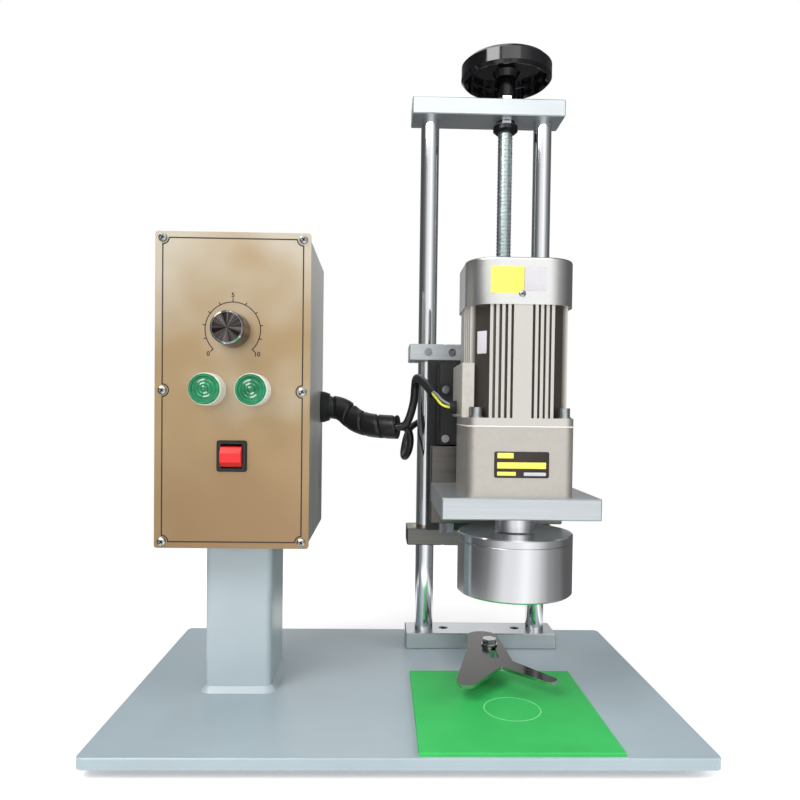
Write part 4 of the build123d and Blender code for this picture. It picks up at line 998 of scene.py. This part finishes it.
knobRing = {
    "radius": 0.0138, "inner": 0.0126, "bevel": 0.0011, "depth": 0.0010, "proud": 0.0002, "sunk": 0.0001,
    "turnSteps": 72,
}


def buildKnobRing(spec):  # the bright turned edge of the knob's face
    low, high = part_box("speed_knob")
    rim = spec["radius"] - spec["bevel"]
    ring = spunProfile("knobRing", [
        (spec["inner"], -spec["proud"] - spec["sunk"]), (spec["inner"], spec["proud"]), (rim, spec["proud"]),
        (spec["radius"], -spec["depth"]), (rim, -spec["depth"]),
    ], spec["turnSteps"], facesFront=True)
    ring.location = ((low[0] + high[0]) / 2, low[1], (low[2] + high[2]) / 2)
    finishPiece(ring, "knobRing", "knob", "hardChrome")


buildKnobRing(knobRing)

matRing = {
    "centre": (0.0973, -0.0755), "radius": 0.0242, "width": 0.0012, "proud": 0.0001, "sunk": 0.0003,
    "turnSteps": 96,
}


# The ring is a lighter green than the mat: a painted highlight along the pressed ring
def buildMatRing(spec):  # the ring pressed into the mat under the head
    half = spec["width"] / 2
    inner, outer = spec["radius"] - half, spec["radius"] + half
    ring = spunProfile("matRing", [
        (inner, -spec["sunk"]), (inner, 0), (spec["radius"] - half / 2, spec["proud"]),
        (spec["radius"] + half / 2, spec["proud"]), (outer, 0), (outer, -spec["sunk"]),
    ], spec["turnSteps"])
    ring.location = (*spec["centre"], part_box("bottle_mat")[1][2])
    finishPiece(ring, "matRing", "stand", "matGroove")


buildMatRing(matRing)

flangeSeam = {"corner": 0.008, "steps": 8, "height": 0.0009, "proud": 0.00025, "sunk": 0.0006}


def buildFlangeSeam(spec):  # the pale line of sealant between the gearbox and the motor's flange
    low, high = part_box("gearbox")
    corner = spec["corner"]
    left, right = low[0] + corner, high[0] - corner
    front, back = low[1] + corner, high[1] - corner
    corners = [((right, back), 0), ((left, back), 90), ((left, front), 180), ((right, front), 270)]
    points = []
    for centre, start in corners:
        points += [(x, y, high[2]) for x, y in arcPairs(centre, corner, start, start + 90, spec["steps"])]
    half = spec["height"] / 2
    seam = drawnBand("flangeSeam", points, (0, 0, 1), -half, half, -spec["sunk"], spec["proud"])
    finishPiece(seam, "flangeSeam", "head", "sealant")


buildFlangeSeam(flangeSeam)
print("panel marks, knob ring, mat ring and seam drawn")


plateEdge = {"cornerCuts": 5, "rim": 0.3, "rimCuts": 2, "smooth": 30}  # the rim as a share of the thickness


# A small plate facing the front: its corners rounded, its rim broken, then turned about the upright
def thinPlate(name, size, place, thickness, corner, turn=0.0):
    deselectAll()
    bpy.ops.mesh.primitive_cube_add(size=1, location=(0, 0, 0))
    item = bpy.context.object
    item.scale = (size[0], thickness, size[1])
    applyPlace(item)
    bpy.ops.object.mode_set(mode="EDIT")
    selectEdges(item, lambda along, middle: abs(along.y) > 0.9)
    bpy.ops.mesh.bevel(offset=corner, segments=plateEdge["cornerCuts"], affect="EDGES")
    selectEdges(item, lambda along, middle: abs(along.y) < 0.1 and middle.y < -thickness * 0.49)
    bpy.ops.mesh.bevel(offset=thickness * plateEdge["rim"], segments=plateEdge["rimCuts"], affect="EDGES")
    bpy.ops.object.mode_set(mode="OBJECT")
    smoothItem(item, plateEdge["smooth"])
    item.rotation_euler = (0, 0, turn)
    item.location = place
    item.name = name
    applyPlace(item)
    return item


def areaPlate(name, across, up, depth, thickness, corner):  # from one side to the other and from foot to top
    size = (across[1] - across[0], up[1] - up[0])
    place = ((across[0] + across[1]) / 2, depth, (up[0] + up[1]) / 2)
    return thinPlate(name, size, place, thickness, corner)


ratingPlate = {
    "x": (0.0753, 0.1211), "z": (0.2213, 0.2432), "thickness": 0.0008, "corner": 0.0016, "sunk": 0.0002,
    "bars": [("plateYellow", (0.0778, 0.0913), (0.2376, 0.2421)),
             ("plateYellow", (0.0778, 0.1184), (0.2291, 0.2343)),
             ("plateYellow", (0.0778, 0.0934), (0.2232, 0.2264)),
             ("plateGrey", (0.1000, 0.1184), (0.2232, 0.2260))],
    "barThickness": 0.0003, "barCorner": 0.0005, "barSunk": 0.0001,
}


def buildRatingPlate(spec):  # a blank plate with blank bars
    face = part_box("gearbox")[0][1]
    depth = face - spec["thickness"] / 2 + spec["sunk"]
    plate = areaPlate("plateGround", spec["x"], spec["z"], depth, spec["thickness"], spec["corner"])
    plate.data.materials.append(finishes["plateBlack"])
    parts = [plate]
    depth = face - spec["thickness"] + spec["barSunk"]
    for finish, across, up in spec["bars"]:
        bar = areaPlate("plateBar", across, up, depth, spec["barThickness"], spec["barCorner"])
        bar.data.materials.append(finishes[finish])
        parts.append(bar)
    plate = joinPieces(parts, "ratingPlate")
    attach(plate, "head")


buildRatingPlate(ratingPlate)

coverTags = {
    "tags": [("coverYellowTag", (0.070, 0.098), (0.374, 0.396), "plateYellow"),
             ("coverGreyTag", (0.0975, 0.116), (0.376, 0.396), "plateGrey")],
    "sunk": 0.00005, "thickness": 0.0004, "corner": 0.001,
}


def buildCoverTags(spec):  # two blank tags on the cover's front
    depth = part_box("fan_cover")[0][1] + spec["sunk"]
    for name, across, up, finish in spec["tags"]:
        tag = areaPlate(name, across, up, depth, spec["thickness"], spec["corner"])
        finishPiece(tag, name, "head", finish)


buildCoverTags(coverTags)

cornerTag = {
    "offset": -0.0322, "size": (0.0098, 0.019), "height": 0.3345, "thickness": 0.0004, "corner": 0.001,
    "turn": -45,
}


def buildCornerTag(spec):  # a blank tag on the motor's cut corner
    place = (motorMiddle.x + spec["offset"], motorMiddle.y + spec["offset"], spec["height"])
    turn = math.radians(spec["turn"])
    tag = thinPlate("cornerTag", spec["size"], place, spec["thickness"], spec["corner"], turn)
    finishPiece(tag, "cornerTag", "head", "plateGrey")


buildCornerTag(cornerTag)

# Dark crosses of painted shade where the screws' cross recesses would be
slotShades = {
    "turns": (35, 125), "thickness": 0.0006, "sunk": 0.00022, "corner": 0.3,
    "panel": (0.0042, 0.0009),  # long and wide, in the panel's screws
}


# A dark cross sunk into each screw's dome: painted shade for the screw's cross recess
def buildSlotShades(name, body, places, face, size):  # a dark cross let into each screw's dome
    parts = []
    corner = size[1] * slotShades["corner"]
    for x, z in places:
        for turn in slotShades["turns"]:
            arm = thinPlate("crossArm", size, (0, 0, 0), slotShades["thickness"], corner)
            arm.rotation_euler = (0, math.radians(turn), 0)
            arm.location = (x, face + slotShades["sunk"], z)
            applyPlace(arm)
            parts.append(arm)
    finishPiece(joinPieces(parts, name), name, body, "darkSteel")


screwPlaces = [(x, z) for x in screwXs for z in (screwZs[0], screwMiddleZ, screwZs[1])]
buildSlotShades("panelScrewSlotShades", "stand", screwPlaces, screwLow[1], slotShades["panel"])

coverScrew = {
    "place": (0.0964, 0.3737), "radius": 0.003, "height": 0.0016, "neck": 0.6, "depth": 0.002, "steps": 6,
    "turnSteps": 40, "slot": (0.0036, 0.0008),
}


def buildCoverScrew(spec):  # one small domed screw in the cover's front
    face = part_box("fan_cover")[0][1]
    neck = spec["radius"] * spec["neck"]
    profile = [(0, -spec["depth"]), (neck, -spec["depth"]), (neck, 0), (spec["radius"], 0)]
    for step in range(1, spec["steps"]):
        angle = math.radians(90 * step / spec["steps"])
        profile.append((spec["radius"] * math.cos(angle), spec["height"] * math.sin(angle)))
    profile.append((0, spec["height"]))
    screw = spunProfile("coverScrew", profile, spec["turnSteps"], facesFront=True)
    screw.location = (spec["place"][0], face, spec["place"][1])
    finishPiece(screw, "coverScrew", "head", "zincSteel")
    buildSlotShades("coverScrewSlotShade", "head", [spec["place"]], face - spec["height"], spec["slot"])


buildCoverScrew(coverScrew)
print("plates, tags and cover screw set")
